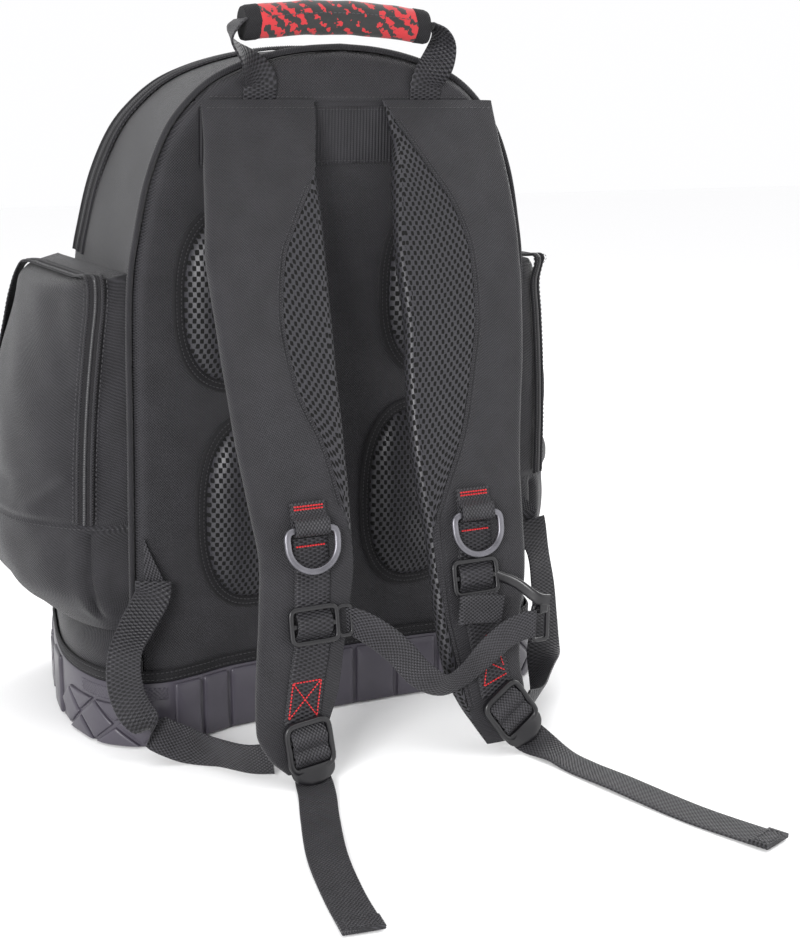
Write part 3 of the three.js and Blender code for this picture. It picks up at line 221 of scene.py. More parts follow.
def spline(points, spacing, closed=False, span=3):
    """Evenly spaced points on a smooth curve through chosen ones; the first span columns are its place"""
    points = np.asarray(points, float)
    if closed:
        points = np.concatenate([points[-2:], points, points[:3]])
    steps = np.linalg.norm(np.diff(points[:, :span], axis=0), axis=1)
    knots = np.concatenate([[0], np.cumsum(steps ** 0.5)])
    slopes = np.diff(points, axis=0) / np.diff(knots)[:, None]
    bends = np.concatenate([slopes[:1], (slopes[1:] + slopes[:-1]) / 2, slopes[-1:]])
    near, far = np.diff(knots)[:-1, None], np.diff(knots)[1:, None]
    bends[1:-1] = (slopes[:-1] * far + slopes[1:] * near) / (far + near)
    first, last = (2, len(points) - 2) if closed else (0, len(points))
    fine = []
    for i in range(first, last - 1):
        t = np.linspace(0, 1, 24, endpoint=False)[:, None]
        h = knots[i + 1] - knots[i]
        fine.append((2 * t ** 3 - 3 * t ** 2 + 1) * points[i] + (t ** 3 - 2 * t ** 2 + t) * h * bends[i]
                    + (3 * t ** 2 - 2 * t ** 3) * points[i + 1] + (t ** 3 - t ** 2) * h * bends[i + 1])
    fine = np.concatenate([*fine, points[last - 1:last]])
    length = lengths(fine[:, :span])
    places = np.linspace(0, length[-1], max(2, round(length[-1] / spacing) + 1))
    return read_along(places, length, fine)


def grid(rows, around=False, lay=None, caps=(False, False), finish=0):
    """Skin through rows of points, with a map of the material's own millimetres"""
    rows = np.asarray(rows, float)
    count, width = rows.shape[:2]
    index = np.arange(count * width).reshape(count, width)
    wide = rows
    if around:
        index = np.concatenate([index, index[:, :1]], axis=1)
        wide = np.concatenate([rows, rows[:, :1]], axis=1)
    if lay is None:
        across = np.cumsum(np.linalg.norm(np.diff(wide, axis=1, prepend=wide[:, :1]), axis=2), axis=1)
        along = np.cumsum(np.linalg.norm(np.diff(wide, axis=0, prepend=wide[:1]), axis=2), axis=0)
        lay = np.stack([across - across[:, across.shape[1] // 2][:, None], along], axis=2)
    turns = [(slice(None, -1), slice(None, -1)), (slice(1, None), slice(None, -1)),
             (slice(1, None), slice(1, None)), (slice(None, -1), slice(1, None))]
    quads = np.stack([index[turn] for turn in turns], axis=-1).reshape(-1, 4)
    quad_lay = np.stack([lay[turn] for turn in turns], axis=-2).reshape(-1, 4, 2)
    finishes = np.broadcast_to(finish, (count - 1, index.shape[1] - 1)).ravel()
    points = rows.reshape(-1, 3)
    triangles, triangle_lay = [], []
    for row, closed in ((0, caps[0]), (count - 1, caps[1])):
        if closed:
            points = np.concatenate([points, rows[row].mean(axis=0)[None]])
            for j in range(index.shape[1] - 1):
                triangles.append((index[row, j], index[row, j + 1], len(points) - 1))
                triangle_lay.append((lay[row, j], lay[row, j + 1], lay[row].mean(axis=0)))
    return {"points": points, "quads": quads, "quad_lay": quad_lay, "finishes": finishes,
            "triangles": np.array(triangles, int).reshape(-1, 3),
            "triangle_lay": np.array(triangle_lay, float).reshape(-1, 3, 2)}


def build(name, parts, materials, sharp=50):
    """One object from parts, its doubled points welded and its faces turned outwards"""
    mesh = bpy.data.meshes.new(name)
    faces, lay, finishes = [], [], []
    start = 0
    for part in parts:
        faces += [tuple(face) for face in (part["quads"] + start).tolist()]
        faces += [tuple(face) for face in (part["triangles"] + start).tolist()]
        lay += [part["quad_lay"].reshape(-1, 2), part["triangle_lay"].reshape(-1, 2)]
        finishes += [part["finishes"], np.full(len(part["triangles"]), part["finishes"][0])]
        start += len(part["points"])
    mesh.from_pydata(np.concatenate([part["points"] for part in parts]) * MM, [], faces)
    mesh.uv_layers.new(name="lay").data.foreach_set("uv", np.concatenate(lay).ravel())
    mesh.polygons.foreach_set("material_index", np.concatenate(finishes).astype(np.int32))
    for material in materials:
        mesh.materials.append(material)
    work = bmesh.new()
    work.from_mesh(mesh)
    bmesh.ops.remove_doubles(work, verts=work.verts, dist=2e-6)
    bmesh.ops.dissolve_degenerate(work, edges=work.edges, dist=1e-6)
    bmesh.ops.recalc_face_normals(work, faces=work.faces)
    work.to_mesh(mesh)
    work.free()
    mesh.shade_smooth()
    mesh.set_sharp_from_angle(angle=math.radians(sharp))
    piece = bpy.data.objects.new(name, mesh)
    bpy.context.scene.collection.objects.link(piece)
    return piece


def fix(piece, slot, *nodes, body="root"):
    """The piece moves with a body and stands for its plain solids, which are hidden; slot is not used"""
    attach(piece, body)
    if nodes:
        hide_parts(*nodes)


def mirrored(half):
    """Closed ring from its right half, whose ends lie on the middle line"""
    left = half[-2:0:-1].copy()
    left[:, 0] *= -1
    return np.concatenate([half, left])


plan = table(plan_columns, plan_rows)
foot_plan = np.stack([foot_half_width * plan["foot_across"], foot_half_depth * plan["foot_depth"]], axis=1)
foot_ring = spline(mirrored(foot_plan), 1.0, closed=True, span=2)
foot_places = lengths(foot_ring)
foot_length = foot_places[-1]
foot_heading = unit(np.gradient(foot_ring, axis=0))


def on_foot(place, z, out):
    """Points at places along the tray's plan, at heights, standing off its wall"""
    place, z, out = np.broadcast_arrays(np.mod(place, foot_length), z, out)
    columns = (*foot_ring.T, *foot_heading.T)
    x, y, ahead_x, ahead_y = [np.interp(place, foot_places, column) for column in columns]
    return np.stack([x + ahead_y * out, y - ahead_x * out, z], axis=-1)


def rounded(corners, radius, spacing=4.0):
    """Outline of a flat shape with rounded corners, with points no further apart than a spacing"""
    corners = np.asarray(corners, float)
    loop = []
    for before, corner, after in zip(np.roll(corners, 1, axis=0), corners, np.roll(corners, -1, axis=0)):
        ends = [corner + (near - corner) * min(0.5, radius / np.linalg.norm(near - corner))
                for near in (before, after)]
        for t in np.linspace(0, 1, 5):
            loop.append((1 - t) ** 2 * ends[0] + 2 * t * (1 - t) * corner + t ** 2 * ends[1])
    outline = []
    for here, there in zip(loop, loop[1:] + loop[:1]):
        steps = max(1, math.ceil(np.linalg.norm(there - here) / spacing))
        outline += [here + (there - here) * k / steps for k in range(steps)]
    return np.array(outline)


def raised_block(corners, rise, radius, swell=0.0):
    """Block on the tray's wall with rounded corners and edges, from its corners as places and heights"""
    outline = rounded(corners, radius)
    middle = outline.mean(axis=0)
    away = outline - middle
    reach = np.linalg.norm(away, axis=1, keepdims=True)
    levels = [(0, -block_root), (0, rise - block_edge), (0.3 * block_edge, rise - 0.3 * block_edge),
              (block_edge, rise)]
    rows = []
    for inset, out in levels:
        flat = middle + away * (1 - inset / reach)
        rows.append(on_foot(flat[:, 0], flat[:, 1], out))
    for share in (0.8, 0.55, 0.3, 0.1):
        flat = middle + away * (1 - block_edge / reach) * share
        rows.append(on_foot(flat[:, 0], flat[:, 1], rise + swell * (1 - share ** 2)))
    return grid(rows, around=True, caps=(False, True))


wall_profile = [
    (0.0, -foot_edge_radius), (0.4, -0.45 * foot_edge_radius), (0.45 * foot_edge_radius, -0.4),
    (foot_edge_radius, 0), (foot_height - 1, 0), (foot_height, -0.8), (foot_height, 0.8 - foot_wall),
    (foot_height - 1, -foot_wall), (foot_wall + 2, -foot_wall), (foot_wall, -foot_wall - 2),
]
around_foot = np.arange(0, foot_length, 2.5)
tray_parts = [grid([on_foot(around_foot, z, out) for z, out in wall_profile], around=True, caps=(True, True))]

rib_edges = np.cumsum([0.5 * rib_pitch, rib_pitch, rib_pitch, rib_pitch_outer, rib_pitch_outer])
quarter = foot_places <= foot_length / 4
rib_places = np.interp(rib_edges, foot_ring[quarter, 0], foot_places[quarter])
spans = [(-rib_places[0], rib_places[0])]
for near, far in zip(rib_places, rib_places[1:]):
    spans += [(near, far), (-far, -near)]
spans += [(foot_length / 4 - 0.5 * rib_pitch, foot_length / 4 + 0.5 * rib_pitch)]
block_low = foot_edge_radius / 2
block_high = foot_height - foot_edge_radius / 2
for start, end in spans:
    for turn in (0, foot_length / 2):
        left, right = turn + start + rib_groove / 2, turn + end - rib_groove / 2
        corners = [(left, block_low), (right, block_low), (right, block_high), (left, block_high)]
        tray_parts.append(raised_block(corners, rib_rise, rib_corner, rib_swell))

corner_start = rib_places[-1] + rib_groove
corner_end = foot_length / 4 - 0.5 * rib_pitch - rib_groove
tread_columns = max(2, round((corner_end - corner_start) / tread_pitch))
pitch = (corner_end - corner_start) / tread_columns
tread_middle = block_low + tread_height / 2
half_wide = pitch / 2 - tread_groove
half_tall = tread_height / 2 - tread_groove
knurl_low = block_low + tread_height + 2.0
knurl_high = foot_height - 2.0
for base, way in ((0, 1), (0, -1), (foot_length / 2, 1), (foot_length / 2, -1)):
    shapes = []
    for i in range(tread_columns):
        place = corner_start + (i + 0.5) * pitch
        shapes.append([(place - half_wide, tread_middle), (place, tread_middle - half_tall),
                       (place + half_wide, tread_middle), (place, tread_middle + half_tall)])
    for i in range(1, tread_columns):
        place = corner_start + i * pitch
        for up in (-1, 1):
            edge = tread_middle + up * tread_height / 2
            tip = tread_middle + up * tread_groove * 1.5
            shapes.append([(place - half_wide, edge), (place, tip), (place + half_wide, edge)])
    for shape in shapes:
        corners = [(base + way * place, z) for place, z in shape]
        tray_parts.append(raised_block(corners, tread_rise, tread_corner))
    knurl_end = corner_start + knurl_share * (corner_end - corner_start)
    places = base + way * np.arange(corner_start, knurl_end, knurl_pitch / 4)
    heights = np.arange(knurl_low, knurl_high, knurl_pitch / 4)
    s, z = np.meshgrid(places, heights)
    points = np.abs(np.sin(math.pi * (s + z) / knurl_pitch) * np.sin(math.pi * (s - z) / knurl_pitch))
    rim = np.zeros_like(points)
    rim[1:-1, 1:-1] = 1
    tray_parts.append(grid(on_foot(s, z, rim * (0.15 + knurl_rise * points) - (1 - rim) * 0.5)))

# Polypropylene, moulded in a spark-eroded tool: a satin surface with fine grain and a purplish-grey cast.
# Its grain is drawn at 1.2 mm, coarser than the real one, so that it shows.
moulding_grain = 1.2


def two_tone(tree, share, dark, light):
    """Colour between two hex values at a share"""
    return add(tree, "Mix", {0: share, 6: linear(dark), 7: linear(light)}, data_type="RGBA").outputs[2]


def cast(name, dark, light, gloss, cloud_scale, grain_scale, detail, strength, depth, ior=1.5, metallic=0.0):
    """Moulded or cast stuff: two tones and two roughnesses in broad clouds, and a fine grain"""
    material, tree, shader = new_material(name)
    place = add(tree, "TexCoord").outputs["Object"]
    cloud = noise(tree, place, cloud_scale, 4.0)
    rough = mapped(tree, cloud, start=gloss[0], end=gloss[1])
    bump = bumped(tree, noise(tree, place, grain_scale, detail), strength, depth)
    feed(tree, shader, {"Base Color": two_tone(tree, cloud, dark, light), "Roughness": rough, "Normal": bump,
                        "IOR": ior, "Metallic": metallic})
    return material


moulded_plastic = cast("moulded_polypropylene", "#2c2a30", "#49454f", gloss=(0.26, 0.42), cloud_scale=22.0,
                       grain_scale=1 / (moulding_grain * MM), detail=2.0, strength=0.18, depth=0.0002,
                       ior=1.49)

foot_tray = build("foot_tray_moulding", tray_parts, [moulded_plastic])
fix(foot_tray, "foot_plastic", "foot_tray")

# Binding over the foot's rim
# A woven polyester tape folded over the raw edge of the cloth, where it is sewn to the tray with two rows
# of lockstitch.
binding_thickness = 1.4
binding_inset = 1.0
thread_radius = 0.32
stitch_pitch = 3.4
stitch_length = 2.5
cloth_specular = 0.22      # cloth scatters most of what a smooth face would mirror


def stitches(path, out, pitch=stitch_pitch, length=stitch_length, radius=thread_radius, finish=0):
    """Lockstitches along a path: short threads that dip into the cloth at both ends"""
    path, out = np.asarray(path, float), np.broadcast_to(out, np.shape(path))
    places = lengths(path)
    middles = np.arange(pitch / 2, places[-1], pitch)
    start, end = [read_along(middles + way * length / 2, places, path) for way in (-1, 1)]
    normal = unit(read_along(middles, places, out))
    sideways = np.cross(normal, unit(end - start))
    turns = np.arange(5) * 2 * math.pi / 5
    rings = []
    profile = ((0, 0, -0.7), (0.18, 0.9, 0.35), (0.5, 1, 0.6), (0.82, 0.9, 0.35), (1, 0, -0.7))
    for share, size, lift in profile:
        centre = start + (end - start) * share + normal * lift * radius
        rings.append(centre[:, None] + size * radius * (np.cos(turns)[None, :, None] * sideways[:, None]
                                                        + np.sin(turns)[None, :, None] * normal[:, None]))
    rings = np.stack(rings, axis=1)
    one = grid(rings[0], around=True, finish=finish)
    count = rings.shape[0]
    shift = (np.arange(count) * rings.shape[1] * rings.shape[2])[:, None, None]
    return {"points": rings.reshape(-1, 3), "quads": (one["quads"][None] + shift).reshape(-1, 4),
            "quad_lay": np.tile(one["quad_lay"], (count, 1, 1)), "finishes": np.tile(one["finishes"], count),
            "triangles": np.zeros((0, 3), int), "triangle_lay": np.zeros((0, 3, 2))}


binding_low = foot_height + 0.3
binding_section = [
    (0.0, -1.0), (0.3, -0.2), (1.2, 0.0), (2.4, -0.25), (3.6, 0.3), (4.8, 0.35), (6.0, 0.3), (7.0, -0.25),
    (8.0, 0.0), (8.5, -0.3), (8.7, -1.0), (8.4, -binding_thickness), (0.3, -binding_thickness),
]
tape_around = np.arange(0, foot_length, 3.0)
tape_rows = [on_foot(tape_around, binding_low + z, out - binding_inset + 0.4) for z, out in binding_section]
binding_parts = [grid(np.transpose(tape_rows, (1, 0, 2))[list(range(len(tape_around))) + [0]], around=True)]
seam_around = np.arange(0, foot_length, 2.0)
outward = on_foot(seam_around, 0, 1) - on_foot(seam_around, 0, 0)
for z in (2.4, 7.0):
    row = on_foot(seam_around, binding_low + z, 0.1 - binding_inset + 0.4)
    binding_parts.append(stitches(row, outward, finish=1))


def crossings(tree, where, pitches, shifts, wave, sway_scale, sway_detail):
    """Height of two sets of threads that cross, swaying a little; pitches are across and along the cloth"""
    sway = noise(tree, where, sway_scale, sway_detail, "2D")
    parts = add(tree, "SeparateXYZ", {"Vector": where})
    waves = []
    for axis, pitch in enumerate(pitches):
        moved = maths(tree, "MULTIPLY_ADD", sway, shifts[axis], parts.outputs[axis])
        waves.append(maths(tree, wave, maths(tree, "MULTIPLY", moved, 2 * math.pi / pitch)))
    return maths(tree, "MULTIPLY", *waves)


def woven(name, dark, light, across, along, highlight_contrast, relief, roughness, sheen, shift=0.25):
    """Woven cloth: threads that pass over and under each other at a spacing across and along it, with a
    painted highlight on their tops and painted shade between them
    """
    material, tree, shader = new_material(name)
    where = add(tree, "UVMap", uv_map="lay").outputs[0]
    shifts = (shift * across, shift * along)
    height = crossings(tree, where, (across, along), shifts, "SINE", 0.35, 2.0)
    cloud = noise(tree, where, 0.045, 5.0, "2D")
    fibre = noise(tree, where, 1.1, 2.0, "2D")
    # Painted highlight and shade: the colour is lighter where threads cross high and darker between them,
    # mixed with a broad random mottle
    mottle_and_painted_highlight = maths(tree, "MULTIPLY_ADD", cloud, 0.5, mapped(tree, height, -highlight_contrast, highlight_contrast))
    share = mapped(tree, maths(tree, "MULTIPLY_ADD", fibre, 0.6, mottle_and_painted_highlight), 0.35, 1.75)
    bump = bumped(tree, height, 0.6, relief * MM)
    feed(tree, shader, {"Base Color": two_tone(tree, share, dark, light), "Normal": bump,
                        "Roughness": roughness, "Specular IOR Level": cloth_specular,
                        "Sheen Weight": 0.4 * sheen, "Sheen Roughness": 0.4})
    return material


def thread(name, dark, light, roughness, scale=900.0, ior=1.5):
    """Filament in two tones; its scale is in patches a metre"""
    material, tree, shader = new_material(name)
    twist = noise(tree, add(tree, "TexCoord").outputs["Object"], scale, 2.0)
    feed(tree, shader, {"Base Color": two_tone(tree, twist, dark, light), "Roughness": roughness, "IOR": ior})
    return material


# Grosgrain tape, woven tight from polyester: dull, dark and finely ribbed, with a painted highlight on each
# rib and painted shade between them
grosgrain = woven("grosgrain_polyester_tape", "#070708", "#222124", 2.0, 1.6, 0.8, 0.3, 0.7, 0.1)

# Bonded nylon thread: black, slightly waxed, so it catches small lights
black_thread = thread("bonded_nylon_thread_black", "#0d0d0e", "#3a393d", 0.45)

foot_binding = build("foot_binding_tape", binding_parts, [grosgrain, black_thread])
fix(foot_binding, "webbing", "foot_binding")

# Body: gusset and front
# The bag's soft case, sewn from coated 600-denier polyester: one cloth skin that runs round the sides
# over the crown and closes the front, open inside, standing on the tray.
crown_height = 478.0
panel_half_width = 151.0
panel_face = -100.0
body_back = -90.0
body_lean = 12.5           # sideways lean of the soft body at its crown
side_flare = (57.0, 115.0)  # heights between which the sides spread to the tray
corner_flare = (57.0, 88.0)
tuck = 3.1                 # how far inside the tray's line the cloth is tucked behind its binding
outline_rows = [
    (0.000, 1.000), (0.355, 1.005), (0.643, 1.000), (0.717, 0.968), (0.800, 0.914), (0.872, 0.828),
    (0.910, 0.745), (0.945, 0.632), (0.968, 0.500), (0.986, 0.335), (0.996, 0.170), (1.000, 0.000),
]
reach_rows = [
    (0.00, 0.98), (0.20, 1.00), (0.45, 0.96), (0.65, 0.88), (0.80, 0.76), (0.90, 0.62), (0.96, 0.46),
    (1.00, 0.20),
]
outline = table(("rise", "half"), outline_rows)
front_reach = table(("rise", "reach"), reach_rows)


def smooth(at, places, values):
    """Values of a smooth curve through a table's points, with no overshoot"""
    order = np.argsort(places)
    places, values = np.asarray(places, float)[order], np.asarray(values, float)[order]
    step = np.diff(places)
    slope = np.diff(values) / step
    bend = np.zeros_like(values)
    both = slope[:-1] * slope[1:]
    total = np.where(both > 0, slope[:-1] + slope[1:], 1)
    bend[1:-1] = np.where(both > 0, 2 * both / total, 0)
    bend[0], bend[-1] = slope[0], slope[-1]
    at = np.clip(at, places[0], places[-1])
    i = np.clip(np.searchsorted(places, at, side="right") - 1, 0, len(step) - 1)
    t = (at - places[i]) / step[i]
    return ((2 * t ** 3 - 3 * t ** 2 + 1) * values[i] + (t ** 3 - 2 * t ** 2 + t) * step[i] * bend[i]
            + (3 * t ** 2 - 2 * t ** 3) * values[i + 1] + (t ** 3 - t ** 2) * step[i] * bend[i + 1])


def ease(value):
    """Soft step from 0 to 1"""
    value = np.clip(value, 0, 1)
    return value * value * (3 - 2 * value)


def flared(z, heights):
    """How far the cloth has spread to the tray at a height, from 0 to 1"""
    return ease((heights[1] - z) / (heights[1] - heights[0]))


def front_at(z):
    """Front-to-back place of the body's front at a height"""
    rise = (z - foot_height) / (crown_height - foot_height)
    return foot_half_depth * smooth(rise, front_reach["rise"], front_reach["reach"])


def leaned(points):
    """The soft body leans a little to one side above its foot"""
    points = np.array(points, float)
    points[..., 0] += body_lean * np.maximum(0, points[..., 2] - foot_height) / (crown_height - foot_height)
    return points


def surface_normals(rows):
    """Directions square to a grid of points"""
    down, over = np.gradient(rows, axis=0), np.gradient(rows, axis=1)
    return unit(np.cross(over, down))


def ripple(points, size, seed=0.0):
    """Smooth uneven swell, between -1 and 1, of about a size in millimetres"""
    x, y, z = np.moveaxis(points, -1, 0) / size
    first = np.sin(1.7 * x + 0.9 * z + seed) * np.sin(1.3 * z - 0.7 * y + 2.1 * seed)
    second = np.sin(2.9 * z + 1.1 * x - 1.9 * y + 3.3 * seed) * np.sin(2.3 * x + 1.6 * y + seed)
    return 0.65 * first + 0.35 * second


rise_rows = np.stack([panel_half_width * outline["half"],
                      foot_height + (crown_height - foot_height) * outline["rise"]], axis=1)
arch = spline(rise_rows, 4.0, span=2)
body_depth = 190           # only for the spacing of the body's columns
plan_points = np.stack([panel_half_width * plan["across"], body_depth * plan["depth"],
                        plan["across"], plan["depth"], plan["foot_across"], plan["foot_depth"]], axis=1)[3:]
columns = spline(plan_points, 5.0, span=2)[:, 2:].T


def body_row(half, z):
    """Right half of the body's section at a height, from behind the panel's edge to the front's middle"""
    across, depth, foot_across, foot_depth = columns
    x = half * across
    y = body_back + (front_at(z) - body_back) * depth
    foot_x = (foot_half_width - tuck) * foot_across
    foot_y = (foot_half_depth - tuck) * foot_depth
    side, corner = flared(z, side_flare), flared(z, corner_flare)
    x = x + side * np.maximum(foot_x - x, 0) * (depth > 0)
    y = np.where(depth > 0.5, y + side * (foot_y - y), y)
    x, y = x + corner * (foot_x - x), y + corner * (foot_y - y)
    return xyz(x, y, z)


right_rows = np.array([body_row(max(half, 0), z) for half, z in arch])
shell_swell = 1.3
height = right_rows[..., 2]
swell = ripple(right_rows, 42, 0.4) * ease((height - 60) / 40) * ease((470 - height) / 30)
right_rows = right_rows - surface_normals(right_rows) * shell_swell * swell[..., None]
left_rows = right_rows * (-1, 1, 1)
body_parts = [grid(leaned(rows)) for rows in (right_rows, left_rows)]

# Polyester, plain woven from textured yarn and coated behind: dull charcoal with a painted highlight where
# threads cross, painted shade between them and a soft sheen at grazing angles. Thread spacing is drawn
# coarser than the real 0.5 mm.
polyester = woven("woven_polyester_600_denier", "#070708", "#333236", 1.9, 1.9, 0.8, 0.5, 0.55, 0.3)

body_shell = build("body_cloth", body_parts, [polyester])
fix(body_shell, "body_cloth", "main_shell")

# Main zip
# A 10 mm coil zip on woven tape, sewn into the gusset from one side pocket over the crown to the other,
# between two folded cloth edges.
pocket_top = 331.0
zip_share = 0.68
zip_width = 26.0
coil_pitch = 1.7
coil_radius = 1.7
fold_radius = 1.1
zip_seat = 1.2             # how far the tape stands off the gusset's line
main_coil = 1.3            # the main zip's coil against a pocket zip's


def around_path(path, across):
    """Directions across a path and off its face"""
    heading = unit(np.gradient(path, axis=0))
    across = unit(across - heading * (across * heading).sum(axis=1, keepdims=True))
    return across, np.cross(heading, across)


def tube(path, across, radius, sides=10, flat=1.0, finish=0, closed=False, caps=True):
    """Round bar along a path; flat narrows it off the face"""
    if closed:
        path = np.concatenate([path[-1:], path, path[:2]])
        across = np.broadcast_to(across, (len(path), 3))
    across, up = around_path(path, np.broadcast_to(across, np.shape(path)))
    radius = np.broadcast_to(radius, len(path))[:, None, None]
    turns = np.arange(sides) * 2 * math.pi / sides
    rows = path[:, None] + radius * (np.cos(turns)[None, :, None] * across[:, None]
                                     + flat * np.sin(turns)[None, :, None] * up[:, None])
    if closed:
        rows = rows[1:-1]
    return grid(rows, around=True, finish=finish, caps=(caps and not closed,) * 2)


def ribbon(path, across, width, thickness, finish=(0, 0), bulge=0.0):
    """Flat webbing along a path with rounded edges; its two faces may differ in weave"""
    across, up = around_path(path, across)
    half, edge = width / 2, thickness / 2
    shares = np.array([-1, -0.6, -0.2, 0.2, 0.6, 1])
    face = [(a * (half - edge), edge + bulge * (1 - a * a)) for a in shares]
    section = face + [(half - 0.3 * edge, 0.7 * edge), (half, 0), (half - 0.3 * edge, -0.7 * edge)]
    section += [(a * (half - edge), -edge) for a in shares[::-1]]
    section += [(0.3 * edge - half, -0.7 * edge), (-half, 0), (0.3 * edge - half, 0.7 * edge)]
    section = np.array(section)
    rows = path[:, None] + section[None, :, :1] * across[:, None] + section[None, :, 1:] * up[:, None]
    girth = lengths(np.concatenate([section, section[:1]]))
    lay = np.stack(np.meshgrid(girth, lengths(path)), axis=-1)
    finishes = np.where(np.arange(len(section)) < 8, finish[0], finish[1])
    return grid(rows, around=True, lay=lay, finish=finishes, caps=(True, True))


def zip_parts(path, across, width, coil=1.0):
    """Tape, coil, two folded cloth edges and two rows of stitches; finishes: tape, coil, cloth, thread"""
    across, up = around_path(path, across)
    if (up[len(up) // 2] * (path[len(path) // 2] - path.mean(axis=0))).sum() < 0:
        up = -up
    tape_across = across if np.dot(np.cross(path[1] - path[0], across[0]), up[0]) > 0 else -across
    parts = [ribbon(path, tape_across, width, 1.0, finish=(0, 0))]
    fine = spline(np.concatenate([path, across, up], axis=1)[::2], coil_pitch / 4)
    beat = np.cos(2 * math.pi * np.arange(len(fine)) / 4)
    radius = coil * coil_radius * (0.86 + 0.14 * beat)
    parts.append(tube(fine[:, :3] + fine[:, 6:] * 0.7, fine[:, 3:6], radius, sides=8, flat=0.7, finish=1))
    for way in (-1, 1):
        edge = path + across * way * (width / 2 - 1.5)
        parts.append(tube(edge + up * 0.5, across, fold_radius, sides=8, finish=2))
        outer = path + across * way * (width / 2 + 1.6)
        parts.append(stitches(outer + up * 0.1, up, finish=3))
    return parts


zip_row = []
for half, z in arch:
    if z > pocket_top + 2:
        zip_row.append((half, body_back + (front_at(z) - body_back) * zip_share, z))
zip_row = np.array(zip_row)
zip_path = np.concatenate([zip_row, zip_row[-2::-1] * (-1, 1, 1)])
zip_out = unit(xyz(np.gradient(zip_path[:, 2]), 0, -np.gradient(zip_path[:, 0])))
zip_path = leaned(zip_path + zip_out * zip_seat)

# Nylon coil, extruded black: harder and shinier than the tape
nylon_coil = thread("extruded_nylon_coil", "#070708", "#262529", 0.38, scale=300.0, ior=1.53)
zip_finish = [grosgrain, nylon_coil, polyester, black_thread]

zip_across = np.tile((0.0, 1, 0), (len(zip_path), 1))
main_zip = build("main_zip_tape_and_coil", zip_parts(zip_path, zip_across, zip_width, main_coil), zip_finish)
fix(main_zip, "zip_tape", "main_zip")

# Back panel
# The padded back: polyester over 8 mm foam, sewn to the gusset in a piped seam. A yoke is laid over its top
# and stitched down where the straps enter, and its foot is tucked behind the tray's binding.
panel_edge = 2.8           # from the piping's line to the panel's own edge
panel_roll = 7.0
yoke_foot = 441.0
yoke_rise = 0.9
yoke_seam_rise = 3.2       # stitches above the yoke's foot
yoke_seam_half = 98


def inset_arch(distance, spacing=3.0):
    """Right half of the panel's outline, moved inwards"""
    line = spline(rise_rows, spacing, span=2)
    heading = unit(np.gradient(line, axis=0))
    moved = line + np.stack([-heading[:, 1], heading[:, 0]], axis=1) * distance
    moved[:, 0] = np.maximum(moved[:, 0], 0)
    moved[-1] = (0, crown_height - distance)
    return moved


def foot_line(x):
    """Front-to-back place of the tucked cloth along the tray's back"""
    back = slice(0, np.argmax(foot_ring[:, 0]))
    edge = np.interp(np.abs(x), foot_ring[back, 0], foot_ring[back, 1])
    return (foot_half_depth - tuck) / foot_half_depth * edge


def panel_depth(x, z, edge_distance):
    """Front-to-back place of the panel's face"""
    roll = np.clip(edge_distance / panel_roll, 0, 1)
    y = body_back - 0.3 + (panel_face - body_back + 0.3) * np.sqrt(1 - (1 - roll) ** 2)
    step = ease((z - yoke_foot) / 0.8) * ease(edge_distance / 6)
    corner = flared(z, corner_flare)
    return (y - yoke_rise * step) * (1 - corner) + foot_line(x) * corner


edge_line = inset_arch(panel_edge)
edge_line = edge_line[edge_line[:, 1] > foot_height + 2]
whole_edge = np.concatenate([edge_line, edge_line * (-1, 1)])
shares = np.linspace(-1, 1, 121)
shares = np.sign(shares) * (1 - (1 - np.abs(shares)) ** 1.25)
extra = [yoke_foot + rise for rise in (-0.4, 0, 0.4, 0.8, 1.2)]   # rows close together at the yoke's step
halves = np.concatenate([edge_line[:, 0], np.interp(extra, edge_line[:, 1], edge_line[:, 0])])
levels = np.concatenate([edge_line[:, 1], extra])
order = np.argsort(levels, kind="stable")
halves, levels = halves[order], levels[order]
x = halves[:, None] * shares[None]
z = np.broadcast_to(levels[:, None], x.shape)
distance = np.min(np.hypot(x[..., None] - whole_edge[:, 0], z[..., None] - whole_edge[:, 1]), axis=2)
panel_rows = xyz(x, panel_depth(x, z, distance), z)
inner = ease((distance - 4) / 20) * ease((z - 70) / 30)
panel_rows[..., 1] += 0.5 * ripple(panel_rows, 30, 1.3) * inner
panel_parts = [grid(leaned(panel_rows), lay=np.stack([x, z], axis=2))]
seam_x = np.arange(-yoke_seam_half, yoke_seam_half, 2.0)
seam = xyz(seam_x, panel_face - yoke_rise - 0.05, yoke_foot + yoke_seam_rise)
panel_parts.append(stitches(leaned(seam), (0, -1, 0), finish=1))

back_panel = build("back_panel_padding", panel_parts, [polyester, black_thread])
fix(back_panel, "body_cloth", "back_panel")

# Piping
# A cord wrapped in a strip of the body's own cloth, sewn into the seam between the panel and the gusset.
piping_radius = 2.2
cord_line = spline(rise_rows, 2.5, span=2)
cord_line = cord_line[cord_line[:, 1] > foot_height + 4]
corner = flared(cord_line[:, 1], corner_flare)
cord_y = body_back - 0.3 - piping_radius
cord_y = cord_y * (1 - corner) + (foot_line(cord_line[:, 0]) - 0.6) * corner
right_cord = xyz(cord_line[:, 0], cord_y, cord_line[:, 1])
cord = leaned(np.concatenate([right_cord, right_cord[-2::-1] * (-1, 1, 1)]))
piping_parts = [tube(cord, (0, 1, 0), piping_radius)]
piping = build("panel_piping_cord", piping_parts, [polyester])
fix(piping, "body_cloth", "panel_piping")

